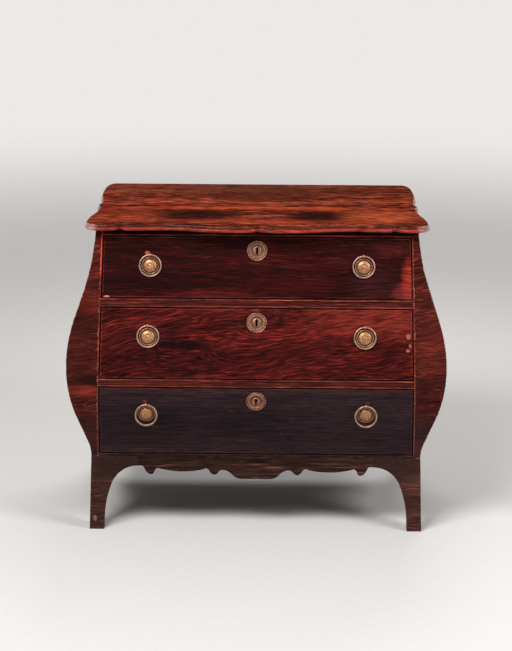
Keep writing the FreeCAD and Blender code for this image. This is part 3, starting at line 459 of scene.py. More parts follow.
            # Painted shade: the gap round the drawer front drawn dark along its rim
            colour = recipe.mix((1 - inside.ease(*RIM_SHADE)) * 0.9, colour, PAINTED_SHADE)
        # Painted shadow: the wood darkened above a height, under the top's overhang
        if self.painted_shadow_above is not None:
            high = (z - self.painted_shadow_above).ease(-SHADOW_FADE, SHADOW_FADE)
            colour = recipe.mix(high * 0.94, colour, PAINTED_SHADE)
        return colour

    def _polish(self, recipe: Recipe, shader: bpy.types.Node) -> None:
        """Add a coat of polish; plain wood has none."""

    def _spot(self, recipe: Recipe, mark: Mark) -> Signal:
        """Return a mark's mask on the front: 1 in its middle, fading out with a ragged rim."""
        x, y, z = recipe.place()
        return self._spot_mask(recipe, mark, x, z) * (1 - y.ease(*FRONT_FADE))

    def _spot_mask(self, recipe: Recipe, mark: Mark, first: Signal, second: Signal) -> Signal:
        """Draw a mark over two of the surface's directions.

        Args:
            recipe: the node tree.
            mark: the mark.
            first: the place in the direction of mark.across.
            second: the place in the direction of mark.along.

        Returns:
            The mark's mask.
        """
        reach = ((first - mark.across) / mark.half_width) ** 2.0
        reach = reach + ((second - mark.along) / mark.half_length) ** 2.0
        rim = (CHIPPED if mark.chip else STAINED).noise(recipe, recipe.place()) - 0.5
        if mark.chip:
            return 1 - (reach + rim * 2.4).ease(0.55, 0.95)
        return 1 - (reach + rim * 2.6).ease(-0.2, 1.7)


@dataclass(frozen=True)
class TopWood(Wood):
    """The top board's wood: marks lie on its upper face and its moulded edge keeps its polish."""

    crest_low: float = 0.7891
    flat_low: float = 0.7963
    crest_polish: float = 0.22
    nose_polish: float = 0.2
    # The edge's bands: the crest painted darker and the nose brighter, as light and shade fall on them,
    # partly as rubbed wear
    crest_colour: Screen = (72, 27, 21)
    nose_colour: Screen = (168, 60, 40)
    # Painted highlight on the corner ears of the moulded edge: its colour, and the span across where it comes
    # in
    ear_highlight: Screen = (222, 176, 168)
    ear_highlight_span: tuple[float, float] = (0.388, 0.412)
    ear_shine: tuple[float, float] = (0.39, 0.44)

    def _heights(self, recipe: Recipe) -> tuple[Signal, Signal]:
        """Return the masks of what lies above the edge's nose and of what lies above its crest."""
        height = recipe.place()[2]
        return (height - self.crest_low).ease(-0.0002, 0.0006), (height - self.flat_low).ease(-0.0006, 0.0004)

    def _bands(self, recipe: Recipe, colour: Signal, streaks: Signal) -> Signal:
        """Add the moulded edge's painted light and shade, partly wear: a browner crest, a brighter nose and a
        painted highlight on its corners.

        Args:
            recipe: the node tree.
            colour: the wood's colour so far.
            streaks: the wood's streaks.

        Returns:
            The colour with its bands.
        """
        crest, flat = self._heights(recipe)
        patchy = recipe.noise(recipe.point(recipe.place()[0], 0.0, 0.0), 9.0, 3.0).ease(0.35, 0.62)
        # Partly rubbed wear and partly painted light and shade: how much of the band colours shows, broken up
        # patchily
        worn = streaks.ease(*GRAIN_TAKES) * 0.35 + patchy * 0.35 + 0.12
        band = recipe.mix(crest, self.nose_colour, self.crest_colour)
        colour = recipe.mix(worn * (1 - flat), colour, band)
        # Painted highlight: the edge's corner ears made pale, broken by the streaks
        ears = abs(recipe.place()[0]).ease(*self.ear_highlight_span) * (1 - flat)
        return recipe.mix(ears * (streaks.ease(0.36, 0.6) * 0.6 + 0.4) * 0.55, colour, self.ear_highlight)

    def _polish(self, recipe: Recipe, shader: bpy.types.Node) -> None:
        """Polish the two bands of the edge.

        Args:
            recipe: the node tree.
            shader: the wood's shader node.
        """
        crest, flat = self._heights(recipe)
        ears = abs(recipe.place()[0]).ease(*self.ear_shine) * 0.5
        weight = (crest * (self.crest_polish - self.nose_polish) + ears + self.nose_polish) * (1 - flat)
        recipe.tree.links.new(weight.socket, shader.inputs["Coat Weight"])
        shader.inputs["Coat Roughness"].default_value = 0.16

    def _spot(self, recipe: Recipe, mark: Mark) -> Signal:
        """Return a mark's mask on the top."""
        x, y, _ = recipe.place()
        return self._spot_mask(recipe, mark, x, y)


@dataclass(frozen=True)
class Metal(Finish):
    """Old metal: bright where it is rubbed, dull, and dark with grime in its hollows and with painted shade
    where that is marked.
    """

    bright: Screen
    dull: Screen
    # The dark colour of grime in hollows and of painted shade
    grime_and_shade_colour: Screen = (28, 18, 13)
    rough: float = 0.34
    metallic: float = 0.9
    dents: float = 0.5
    patch_scale: float = 260.0
    speck_scale: float = 1500.0

    def surface(self, recipe: Recipe) -> Signal:
        """Build the metal's shader.

        Args:
            recipe: the node tree.

        Returns:
            The shader.
        """
        where = recipe.point(*recipe.place())
        patches = recipe.noise(where, self.patch_scale, 4.0, 0.65)
        specks = recipe.noise(where, self.speck_scale, 2.0, 0.6)
        grime_and_shade = recipe.attribute("grime_and_shade")
        colour = recipe.mix(patches.ease(0.3, 0.68), self.dull, self.bright)
        # Grime in the hollows, and painted shade on the rings marked for it
        grime_and_shade_amount = (grime_and_shade + (patches - 0.5) * 0.5).clamped() * 0.92
        colour = recipe.mix(grime_and_shade_amount, colour, self.grime_and_shade_colour)
        rough = (patches * 0.22 + specks * 0.1 + grime_and_shade_amount * 0.3 + (self.rough - 0.14)).clamped()
        metal = (1 - grime_and_shade_amount * 0.75) * self.metallic
        shader = recipe.node("ShaderNodeBsdfPrincipled", None, {
            "Base Color": colour, "Roughness": rough, "Metallic": metal,
            "Normal": recipe.bump(patches * 0.8 + specks * 0.2, 0.0005, self.dents)})
        return Signal(recipe, shader.outputs[0])


RED_MARK = (150, 60, 52)
CHIP = (160, 92, 84)
TOP = TopWood(
    "top_rosewood", "top_wood", grain=Grain.ACROSS, wave=0.004, wave_length=0.3, streak=120.0,
    stops=((0.08, (46, 18, 12)), (0.4, (86, 34, 23)), (0.64, (126, 51, 34)), (0.95, (180, 82, 56))),
    rough=0.42, gloss=0.0, edge=(170, 72, 50), edge_wear=0.4, contrast=2.8, draw=26.0,
    veins=0.05, vein_count=52.0,
    marks=(Mark(0.03, 0.14, 0.2, 0.1, (62, 34, 25), 0.75),
           Mark(-0.1, 0.24, 0.5, 0.09, (96, 54, 42), 0.7),
           Mark(-0.157, -0.145, 0.12, 0.075, (30, 16, 14), 1.35),
           Mark(0.156, -0.158, 0.08, 0.07, (30, 16, 14), 1.35),
           Mark(0.307, -0.15, 0.1, 0.08, (206, 94, 58), 0.65),
           Mark(0.0, -0.04, 0.36, 0.022, (190, 74, 42), 0.85),
           Mark(-0.33, -0.12, 0.1, 0.09, (154, 62, 39), 0.5),
           Mark(0.0, -0.215, 0.5, 0.03, (168, 66, 40), 0.4)))
UPPER = Wood(
    "rosewood", "upper_front_wood", wave=0.006, wave_height=0.12, streak=290.0, draw=12.0,
    contrast=1.2, edge=(120, 60, 52), rim=Rim(0.6115, 0.7625, 0.38555, 0.38132),
    stops=((0.08, (12, 5, 5)), (0.42, (30, 11, 11)), (0.68, (54, 16, 16)), (0.95, (112, 31, 27))),
    marks=(Mark(-0.111, 0.6165, 0.12, 0.02, (116, 34, 30), 0.55),
           Mark(0.1, 0.64, 0.15, 0.03, (96, 26, 24), 0.25),
           # Painted reflection: a bright red glow down the right end of the front, drawn by these two marks
           Mark(0.382, 0.655, 0.024, 0.055, (184, 60, 46), 0.85),
           Mark(0.366, 0.628, 0.032, 0.022, (160, 56, 48), 0.6),
           Mark(0.3, 0.64, 0.07, 0.05, (70, 34, 36), 0.5),
           Mark(0.33, 0.735, 0.05, 0.02, (90, 36, 30), 0.5),
           Mark(-0.2715, 0.7198, 0.0062, 0.0055, (184, 88, 78), 1.6),
           Mark(-0.372, 0.6145, 0.0075, 0.0032, (214, 150, 130), 0.95, True)))
MIDDLE = Wood(
    "rosewood", "middle_front_wood", wave=0.022, wave_length=0.3, wave_height=0.25, streak=270.0,
    lean=7.0, draw=20.0, seed=3.3, contrast=1.6, edge=(140, 70, 58),
    rim=Rim(0.412, 0.589, 0.39115, 0.38618),
    stops=((0.1, (17, 6, 6)), (0.4, (46, 15, 14)), (0.66, (78, 23, 21)), (0.95, (138, 42, 36))),
    marks=(Mark(0.33, 0.565, 0.2, 0.045, (150, 56, 44), 0.6),
           Mark(-0.185, 0.4975, 0.075, 0.012, (18, 8, 10), 1.4),
           Mark(0.2745, 0.546, 0.006, 0.005, RED_MARK, 0.8),
           Mark(0.3765, 0.523, 0.0065, 0.008, CHIP, 0.95, True),
           Mark(0.381, 0.5005, 0.004, 0.005, CHIP, 0.9, True),
           Mark(0.376, 0.4885, 0.0065, 0.0045, CHIP, 0.95, True)))
# The lower front's dark, grey-purple colours are partly a darker board and partly painted shade and a painted
# reflection of the floor
LOWER = Wood(
    "rosewood", "lower_front_wood", wave=0.004, streak=250.0, seed=7.1, contrast=1.5,
    edge=(84, 56, 55), rim=Rim(0.202, 0.3895, 0.39703, 0.39178),
    stops=((0.1, (24, 17, 20)), (0.5, (40, 29, 32)), (0.8, (56, 38, 41)), (1.0, (78, 50, 50))),
    marks=(Mark(0.0, 0.384, 0.5, 0.014, (74, 44, 42), 0.7),
           Mark(0.24, 0.3, 0.16, 0.09, (58, 43, 46), 0.6),
           Mark(-0.277, 0.3497, 0.006, 0.004, RED_MARK, 0.8),
           Mark(0.2785, 0.3485, 0.006, 0.004, RED_MARK, 0.8)))
STILE = Wood(
    "rosewood", "stile_wood", lean=8.0, wave=0.008, wave_length=0.09, streak=300.0, seed=1.7,
    contrast=1.6, painted_shadow_above=0.77, draw=14.0,
    stops=((0.1, (28, 12, 10)), (0.42, (57, 22, 18)), (0.68, (89, 34, 28)), (0.95, (144, 58, 44))),
    leaves=(0.394, 0.716), edge=(190, 156, 140), edge_wear=1.0,
    marks=(Mark(-0.41, 0.6, 0.05, 0.035, (124, 42, 32), 0.6),
           Mark(-0.4, 0.407, 0.06, 0.014, (34, 17, 17), 1.4),
           Mark(0.4, 0.407, 0.06, 0.012, (40, 20, 17), 0.8),
           Mark(-0.43, 0.378, 0.05, 0.016, (150, 58, 40), 0.8),
           Mark(-0.42, 0.23, 0.1, 0.09, (50, 33, 31), 0.95),
           Mark(0.42, 0.23, 0.1, 0.09, (56, 40, 40), 0.95),
           # Painted shade: the left stile's middle darkened where the key lamp lights it
           Mark(-0.44, 0.5, 0.05, 0.12, (40, 15, 12), 0.6),
           Mark(0.44, 0.5, 0.05, 0.09, (120, 46, 38), 0.35)))
SIDE = Wood(
    "rosewood", "side_wood", grain=Grain.DEPTH, wave=0.014, wave_length=0.22, streak=200.0, seed=5.2,
    contrast=1.3, painted_shadow_above=0.772,
    stops=((0.12, (28, 12, 10)), (0.42, (60, 24, 20)), (0.68, (90, 35, 28)), (0.95, (136, 56, 42))))
RAIL = Wood(
    "rosewood", "rail_wood", wave=0.002, streak=330.0, seed=2.4, contrast=1.5, painted_shadow_above=0.767,
    stops=((0.1, (26, 11, 10)), (0.42, (56, 23, 20)), (0.68, (86, 34, 29)), (0.95, (150, 68, 55))))
APRON = Wood(
    "rosewood", "apron_wood", wave=0.003, streak=240.0, seed=9.6, contrast=1.8,
    stops=((0.1, (24, 15, 14)), (0.45, (45, 29, 27)), (0.7, (64, 41, 36)), (0.95, (116, 72, 56))),
    edge=(92, 62, 52), edge_wear=0.5)
LEG = Wood(
    "rosewood", "leg_wood", wave=0.006, wave_length=0.08, streak=260.0, seed=8.4, contrast=1.35,
    stops=((0.1, (30, 19, 17)), (0.45, (60, 38, 33)), (0.7, (92, 56, 48)), (0.95, (140, 86, 70))),
    edge=(100, 68, 58), edge_wear=0.5,
    marks=(Mark(-0.3625, 0.127, 0.006, 0.004, CHIP, 0.9, True),
           Mark(-0.3665, 0.1064, 0.004, 0.006, CHIP, 0.9, True),
           Mark(-0.33, 0.172, 0.12, 0.05, (44, 29, 28), 1.2),
           Mark(0.33, 0.172, 0.12, 0.05, (46, 31, 30), 1.2),
           Mark(-0.4085, 0.029, 0.006, 0.009, (120, 104, 92), 0.8, True)))
BEAD = Wood(
    "bead_wood", "bead_redwood", wave=0.001, streak=260.0, seed=4.4, contrast=1.8, draw=14.0,
    stops=((0.08, (48, 19, 16)), (0.42, (98, 38, 31)), (0.78, (148, 62, 48)), (1.0, (200, 104, 82))),
    edge=(190, 104, 82), edge_wear=0.5, gloss=0.06,
    marks=(Mark(0.0, 0.197, 0.8, 0.014, (44, 28, 26), 3.0),
           Mark(-0.4, 0.29, 0.03, 0.1, (104, 56, 52), 1.3),
           Mark(0.4, 0.29, 0.03, 0.1, (112, 66, 62), 1.3),
           Mark(-0.384, 0.715, 0.012, 0.055, (220, 62, 50), 1.9)))
OAK = Wood(
    "oak", "drawer_oak", grain=Grain.DEPTH, wave=0.003, streak=80.0, seed=6.1, rough=0.62, gloss=0.2,
    stops=((0.1, (92, 66, 42)), (0.45, (140, 104, 68)), (0.75, (168, 130, 88)), (1.0, (190, 154, 110))),
    edge=(196, 164, 122), edge_wear=0.4)
OAK_ACROSS = replace(OAK, name="cross_oak", grain=Grain.ACROSS, seed=8.2)
OAK_BACK = Wood(
    "oak", "back_oak", grain=Grain.UPRIGHT, wave=0.004, wave_length=0.3, streak=70.0, seed=1.1,
    rough=0.7, gloss=0.15, edge=(150, 120, 88), edge_wear=0.4,
    stops=((0.1, (64, 46, 32)), (0.45, (100, 74, 50)), (0.75, (128, 98, 68)), (1.0, (150, 120, 86))))
BRASS = Metal("tarnished_brass", "tarnished_brass", bright=(174, 123, 99), dull=(94, 60, 45))
COPPERY = Metal(
    "tarnished_brass", "coppery_brass", bright=(200, 146, 108), dull=(126, 82, 54),
    dents=0.15)
RING_BRASS = Metal("tarnished_brass", "ring_brass", bright=(190, 154, 136), dull=(122, 92, 76))
IRON = Metal("iron", "lock_iron", bright=(120, 112, 104), dull=(70, 62, 56), rough=0.5)


# -------- Making pieces --------
# Angles: past which a shaded edge is sharp, past which a wooden edge is eased, and below which faces are one
SHARP, EASED, FLAT = math.radians(50), math.radians(28), math.radians(0.25)
# Points nearer than this are one: in metres on wood, in millimetres on turned shapes
SAME_POINT, SAME_POINT_MM = 0.002 * MM, 0.0005


def finished(name: str, shape: Shape, finish: Finish, body: str, nodes: tuple[str, ...],
             weighted: bool = False) -> None:
    """Turn a shape into a piece of the chest.

    Args:
        name: the piece's name.
        shape: its mesh, in metres, in place; it is freed.
        finish: what it is finished with.
        body: the body that it moves with.
        nodes: the CAD nodes that it stands for.
        weighted: whether its large faces lead the shading at its eased edges.
    """
    mesh = bpy.data.meshes.new(name)
    shape.to_mesh(mesh)
    shape.free()
    mesh.shade_smooth()
    mesh.set_sharp_from_angle(angle=SHARP)
    mesh.materials.append(finish.material())
    piece = bpy.data.objects.new(name, mesh)
    bpy.context.scene.collection.objects.link(piece)
    if weighted:
        steady = piece.modifiers.new("steady_normals", "WEIGHTED_NORMAL")
        steady.keep_sharp = True
        steady.weight = 100
    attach(piece, body)
    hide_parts(*nodes)
    log.info("%s: %d faces on %s", name, len(mesh.polygons), body)


@dataclass
class WoodPiece:
    """A wooden piece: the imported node's shape with its edges eased, as wear leaves them."""

    node: str
    body: str
    finish: Wood
    ease: float

    def build(self) -> None:
        """Make the piece from a merged copy of the node."""
        shape = bmesh.new()
        shape.from_mesh(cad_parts[self.node].data)
        bmesh.ops.remove_doubles(shape, verts=shape.verts, dist=SAME_POINT)
        self.reshape(shape)
        bmesh.ops.dissolve_limit(shape, angle_limit=FLAT, verts=shape.verts, edges=shape.edges)
        sharp = [edge for edge in shape.edges if edge.is_manifold and edge.calc_face_angle() > EASED]
        eased = bmesh.ops.bevel(shape, geom=sharp, offset=self.ease, offset_type="OFFSET", affect="EDGES",
                                segments=2, profile=0.5, material=-1, clamp_overlap=True)
        worn = shape.loops.layers.float.new("worn")
        for face in eased["faces"]:
            for loop in face.loops:
                loop[worn] = 1.0
        finished("made_" + self.node, shape, self.finish, self.body, (self.node,), weighted=True)

    def reshape(self, shape: Shape) -> None:
        """Change the merged copy before its edges are eased; most pieces stay as they are."""


@dataclass
class ScallopedApron(WoodPiece):
    """An apron whose drops spread towards their roots.

    All sizes are in millimetres. Each drop is its distance from the middle, and how far its root spreads
    outwards and inwards; tip, root and edge_top are heights. What lies within core of a drop moves whole, and
    nothing moves past reach.
    """

    drops: tuple[Triple, ...] = ((266.0, 9.0, 2.5), (105.0, 7.5, 6.0))
    tip: float = 147.0
    root: float = 161.0
    edge_top: float = 172.0
    core: float = 11.0
    reach: float = 30.0

    def reshape(self, shape: Shape) -> None:
        """Spread the roots of the drops.

        Args:
            shape: the apron's merged copy, in metres.
        """
        for vert in shape.verts:
            across, height = abs(vert.co.x) / MM, vert.co.z / MM
            if height > self.edge_top:
                continue
            rise = min(max((height - self.tip) / (self.root - self.tip), 0.0), 1.0)
            for middle, outwards, inwards in self.drops:
                offset = across - middle
                near = min(max((self.reach - abs(offset)) / (self.reach - self.core), 0.0), 1.0)
                across += rise * near * (outwards if offset > 0 else -inwards)
            vert.co.x = math.copysign(across * MM, vert.co.x)


@dataclass
class Seat:
    """A place on the swelling front: a point and how far the front's outward normal points up."""

    across: float
    front: float
    height: float
    lean: float

    def matrix(self, side: int = 1) -> Matrix:
        """Return what puts a fitting, made about Z in millimetres, there or, with side -1, on the left."""
        place = Vector((side * self.across, self.front, self.height)) * MM
        return (Matrix.Translation(place) @ Matrix.Rotation(math.radians(90 - self.lean), 4, "X")
                @ Matrix.Scale(MM, 4))


def spun(shape: Shape, steps: int) -> Shape:
    """Turn a profile once about Z.

    Args:
        shape: the profile, which becomes the turned shape.
        steps: the faces of the turn.

    Returns:
        The same shape.
    """
    bmesh.ops.spin(shape, geom=shape.verts[:] + shape.edges[:], cent=(0, 0, 0), axis=(0, 0, 1),
                   angle=math.tau, steps=steps, use_merge=True, use_duplicate=False)
    bmesh.ops.remove_doubles(shape, verts=shape.verts, dist=SAME_POINT_MM)
    bmesh.ops.recalc_face_normals(shape, faces=shape.faces)
    return shape


def turned(profile: list[tuple[float, float]], steps: int = 96) -> Shape:
    """Make a turned shape.

    Args:
        profile: its (radius, height) points, in millimetres.
        steps: the faces of a full turn.

    Returns:
        The shape, closed where the profile is.
    """
    shape = bmesh.new()
    spots = [shape.verts.new((radius, 0, height)) for radius, height in profile]
    for pair in zip(spots, spots[1:]):
        shape.edges.new(pair)
    return spun(shape, steps)


def smooth_profile(points: list[tuple[float, float]], steps: int = 4) -> list[tuple[float, float]]:
    """Join points by a smooth curve that passes through each of them.

    Args:
        points: the (radius, height) points.
        steps: the curve's pieces between two points.

    Returns:
        The curve's points.
    """
    padded = [points[0]] + points + [points[-1]]
    curve = []
    for before, start, end, after in zip(padded, padded[1:], padded[2:], padded[3:]):
        for number in range(steps):
            t = number / steps
            curve.append(tuple(
                0.5 * (2 * start[k] + (end[k] - before[k]) * t
                       + (2 * before[k] - 5 * start[k] + 4 * end[k] - after[k]) * t ** 2
                       + (3 * start[k] - before[k] - 3 * end[k] + after[k]) * t ** 3) for k in (0, 1)))
    return curve + [points[-1]]


def mark_grime_and_shade(shape: Shape, grime_and_shade_rings: list[Triple]) -> None:
    """Store how dark each point of a turned shape is: grime in its hollows and painted shade where it is
    marked.

    Args:
        shape: the shape, about Z.
        grime_and_shade_rings: rings of grime and of painted shade, each its radius, half width and depth.
    """
    layer = shape.verts.layers.float.new("grime_and_shade")
    for vert in shape.verts:
        radius = math.hypot(vert.co.x, vert.co.y)
        vert[layer] = max(depth * max(0.0, 1 - abs(radius - middle) / half)
                          for middle, half, depth in grime_and_shade_rings)


def joined(shapes: list[Shape]) -> Shape:
    """Put several shapes together.

    Args:
        shapes: the shapes; they are freed.

    Returns:
        One shape of them all.
    """
    whole = bmesh.new()
    whole.verts.layers.float.new("grime_and_shade")
    for shape in shapes:
        part = bpy.data.meshes.new("part")
        shape.to_mesh(part)
        shape.free()
        whole.from_mesh(part)
        bpy.data.meshes.remove(part)
    return whole


class Keyhole(Enum):
    """The two keyhole shapes: half slot width, radius of the round head."""

    SLOT = (2.7, 2.7)
    ROUND_HEAD = (2.2, 3.9)


@dataclass
class Escutcheon:
    """A round keyhole plate: a beaded outer moulding round a shallow dish and a domed middle."""

    body: str
    node: str
    seat: Seat
    keyhole: Keyhole
    radius: float = 25.4
    middle: float = 11.6
    hole_edge: float = 3.2
    slot_foot: float = 9.0
    slot_head: float = 5.3
    head_top: float = 9.0
    beads: int = 44
    bead_height: float = 0.35

    def _hole(self, angle: float) -> float:
        """Measure the keyhole from its middle.

        Args:
            angle: the direction, in radians from the plate's right.

        Returns:
            The hole's reach, in millimetres.
        """
        half, head = self.keyhole.value
        x, y = math.cos(angle), math.sin(angle)
        end = self.slot_foot if y < 0 else self.slot_head
        reach = min(half / max(abs(x), 1e-6), end / max(abs(y), 1e-6))
        rise = self.head_top - head
        root = (rise * y) ** 2 - rise ** 2 + head ** 2
        if root > 0 and y > 0:
            reach = max(reach, rise * y + math.sqrt(root))
        return reach

    def build(self) -> None:
        """Make the plate."""
        rim, middle, least = self.radius, self.middle, self.hole_edge
        profile = [(rim, -3.6), (rim, 0.6)]
        profile += smooth_profile([(rim, 0.8), (rim - 0.7, 2.3), (rim - 2.0, 2.7), (rim - 3.2, 2.1),
                                   (rim - 3.8, 1.8), (rim - 4.8, 3.2), (rim - 6.6, 4.1), (rim - 8.6, 3.5),
                                   (rim - 10.2, 2.0), (rim - 11.4, 1.3), (middle + 1.2, 1.2),
                                   (middle + 0.2, 1.5)])
        profile += smooth_profile([(middle, 2.0), (middle - 0.9, 3.2), (middle - 3.2, 3.9),
                                   (middle - 6.0, 4.2), (middle - 8.0, 4.25)])
        profile += [(least, 4.0), (least, -3.6)]
        shape = turned(profile, self.beads * 5)
        for vert in shape.verts:
            radius = math.hypot(vert.co.x, vert.co.y)
            angle = math.atan2(vert.co.y, vert.co.x)
            if radius <= middle:
                share = (radius - least) / (middle - least)
                stretch = (self._hole(angle) + share * (middle - self._hole(angle))) / radius
                vert.co.x *= stretch
                vert.co.y *= stretch
            elif rim - 9.0 < radius < rim - 4.2 and vert.co.z > 0:
                vert.co.z += self.bead_height * math.cos(angle * self.beads)
        mark_grime_and_shade(shape, [(rim - 3.9, 1.1, 0.9), (rim - 9.0, 4.2, 0.45), (middle + 1.2, 2.2, 1.0),
                             (middle - 8.0, 1.2, 0.5)])
        shape.transform(self.seat.matrix())
        finished("cast_" + self.node, shape, BRASS, self.body, (self.node,))


@dataclass
class RingPulls:
    """A drawer's two ring pulls: domed plates, posts through the front, and rings that hang from them.

    Their sizes are in millimetres. A side is 1 for the right pull and -1 for the left one.
    """

    drawer: str
    plate: Seat
    stem: Seat
    eye: Triple
    tilt: float
    ring_radius: float = 26.4
    wire: float = 2.6
    taper: float = 0.06
    waver: float = 0.015
    plate_radius: float = 22.2
    board: float = 24.0

    def _eye_place(self, side: int) -> Vector:
        """Return the middle of a post's eye."""
        return Vector((side * self.eye[0], self.eye[1], self.eye[2]))

    def _plate(self, side: int) -> Shape:
        """Make one domed plate.

        Args:
            side: the pull's side.

        Returns:
            The plate's shape, in place.
        """
        rim = self.plate_radius
        profile = [(rim, -3.8), (rim, 0.6)]
        profile += smooth_profile([(rim, 0.9), (rim - 0.5, 2.4), (rim - 1.6, 3.1), (rim - 2.7, 2.4),
                                   (rim - 3.5, 1.1), (rim - 4.1, 0.9), (rim - 4.5, 1.3), (rim - 4.8, 2.5)])
        profile += smooth_profile([(rim - 5.0, 3.4), (16.2, 5.3), (13.8, 7.1), (10.4, 8.2), (7.0, 8.6),
                                   (4.4, 8.4), (3.5, 8.5), (2.4, 9.0), (0.9, 9.3), (0.0, 9.35)])
        shape = turned(profile)
        # The third ring is painted shade on the dome's shoulder; the others are grime at the plate's edge, in
        # its groove and by the nipple
        mark_grime_and_shade(shape, [(rim, 1.3, 0.9), (rim - 4.0, 1.6, 1.1), (15.2, 4.6, 0.34), (3.9, 1.0, 0.4)])
        shape.transform(self.plate.matrix(side))
        return shape

    def _post(self, side: int) -> Shape:
        """Make one post: an eye in front, a stem through the drawer front and a square nut behind it.

        Args:
            side: the pull's side.

        Returns:
            The post's shape, in place.
        """
        barrel = turned([(3.2, -3.3), (3.9, -3.5), (4.5, -3.0), (4.6, 0), (4.5, 3.0), (3.9, 3.5), (3.2, 3.3),
                         (3.15, 0), (3.2, -3.3)], 40)
        mark_grime_and_shade(barrel, [(3.15, 0.6, 0.9)])
        barrel.transform(Matrix.Translation(self._eye_place(side) * MM)
                         @ Matrix.Rotation(math.pi / 2, 4, "Y") @ Matrix.Scale(MM, 4))
        back = -self.board * math.cos(math.radians(self.stem.lean))
        stem = turned([(0.0, back - 6.5), (2.0, back - 6.5), (2.5, back - 6.0), (2.5, 0.9), (0.0, 0.9)], 24)
        mark_grime_and_shade(stem, [(0.0, 9.0, 0.4)])
        nut = turned([(2.55, back - 0.25), (4.6, back - 0.25), (4.9, back - 0.6), (4.9, back - 3.6),
                      (4.6, back - 4.1), (2.55, back - 4.1), (2.55, back - 0.25)], 4)
        mark_grime_and_shade(nut, [(2.55, 1.5, 0.8)])
        nut.transform(Matrix.Rotation(math.pi / 4, 4, "Z"))
        for shape in (stem, nut):
            shape.transform(self.stem.matrix(side))
        return joined([barrel, stem, nut])

    def _ring(self, side: int) -> Shape:
        """Make one ring, a little thicker at its foot than at the eye.

        Args:
            side: the pull's side.

        Returns:
            The ring's shape, in place.
        """
        shape = bmesh.new()
        bmesh.ops.create_circle(shape, cap_ends=False, segments=20, radius=self.wire)
        shape.transform(Matrix.Translation((self.ring_radius, 0, 0)) @ Matrix.Rotation(math.pi / 2, 4, "X"))
        spun(shape, 112)
        layer = shape.verts.layers.float.new("grime_and_shade")
        for vert in shape.verts:
            radius = math.hypot(vert.co.x, vert.co.y)
            angle = math.atan2(vert.co.y, vert.co.x)
            thin = 0.94 - self.taper * math.sin(angle) + self.waver * math.sin(angle * 9 + side)
            line = self.ring_radius + (radius - self.ring_radius) * thin
            vert.co = (line * math.cos(angle), line * math.sin(angle), vert.co.z * thin)
            inward = (self.ring_radius - radius) / self.wire
            vert[layer] = 0.75 * max(0.0, inward) ** 2 + 0.15 * (0.5 + 0.5 * math.sin(angle * 23))
        down = Vector((0, -math.sin(math.radians(self.tilt)), -math.cos(math.radians(self.tilt))))
        centre = self._eye_place(side) + down * self.ring_radius
        shape.transform(Matrix.Translation(centre * MM)
                        @ Matrix.Rotation(math.radians(90 - self.tilt), 4, "X") @ Matrix.Scale(MM, 4))
        return shape

    def build(self) -> None:
        """Make the plates, the posts and the rings."""
        for word, make, finish in (("plates", self._plate, COPPERY), ("posts", self._post, BRASS)):
            node = "%s_pull_%s" % (self.drawer, word)
            finished("cast_" + node, joined([make(1), make(-1)]), finish, self.drawer + "_drawer", (node,))
        for side, word in ((1, "right"), (-1, "left")):
            name = "%s_%s_ring" % (self.drawer, word)
            finished("cast_" + name, self._ring(side), RING_BRASS, name, (name,))


@dataclass
class Drawer:
    """A drawer: its swelling front, its oak box, its lock, its escutcheon and its pulls."""

    name: str
    front_finish: Wood
    pulls: RingPulls
    escutcheon: Escutcheon

    def build(self) -> None:
        """Make the drawer's pieces."""
        body = self.name + "_drawer"
        for board, finish, ease in (("front", self.front_finish, 0.7), ("sides", OAK, 0.8),
                                    ("back", OAK_ACROSS, 0.8), ("bottom", OAK_ACROSS, 0.5)):
            WoodPiece(body + "_" + board, body, finish, ease * MM).build()
        self.pulls.build()
        self.escutcheon.build()
        for node in (self.name + "_lock_case", self.name + "_lock_bolt"):
            dress(node, IRON)


def dress(node: str, finish: Finish) -> None:
    """Give a CAD node that keeps its own shape a finish.

    Args:
        node: the node's name.
        finish: what it is finished with.
    """
    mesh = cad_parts[node].data
    mesh.materials.clear()
    mesh.materials.append(finish.material())
    log.info("%s: dressed", node)


@dataclass
class Case:
    """The case, its legs and its top board."""

    shown: tuple[tuple[str, Wood], ...] = (
        ("top_board", TOP), ("*_front_stile", STILE), ("*_side_panel", SIDE), ("top_rail", RAIL),
        ("upper_rail", RAIL), ("lower_rail", RAIL), ("bottom_board", APRON), ("rail_beads", BEAD),
        ("stile_beads", BEAD), ("*_front_leg", LEG), ("*_back_leg", LEG), ("front_apron", APRON),
        ("*_side_apron", APRON), ("back_apron", APRON), ("back_boards", OAK_BACK))
    hidden: tuple[tuple[str, Wood], ...] = (
        ("drawer_runners", OAK), ("drawer_guides", OAK), ("drawer_stops", OAK_ACROSS), ("top_cleats", OAK),
        ("glue_blocks", OAK_ACROSS))
    eases: tuple[tuple[str, float], ...] = (
        ("_beads", 0.3), ("top_board", 0.3), ("_stile", 1.4), ("_leg", 1.8))
    usual_ease: float = 0.9

    def build(self) -> None:
        """Make the case's pieces: a star stands for right and left, and eases go by a name's end."""
        for name, finish in self.shown:
            kind = ScallopedApron if name == "front_apron" else WoodPiece
            ease = next((size for ending, size in self.eases if name.endswith(ending)), self.usual_ease)
            for node in dict.fromkeys(name.replace("*", side) for side in ("right", "left")):
                kind(node, "case", finish, ease * MM).build()
        for node, finish in self.hidden:
            dress(node, finish)


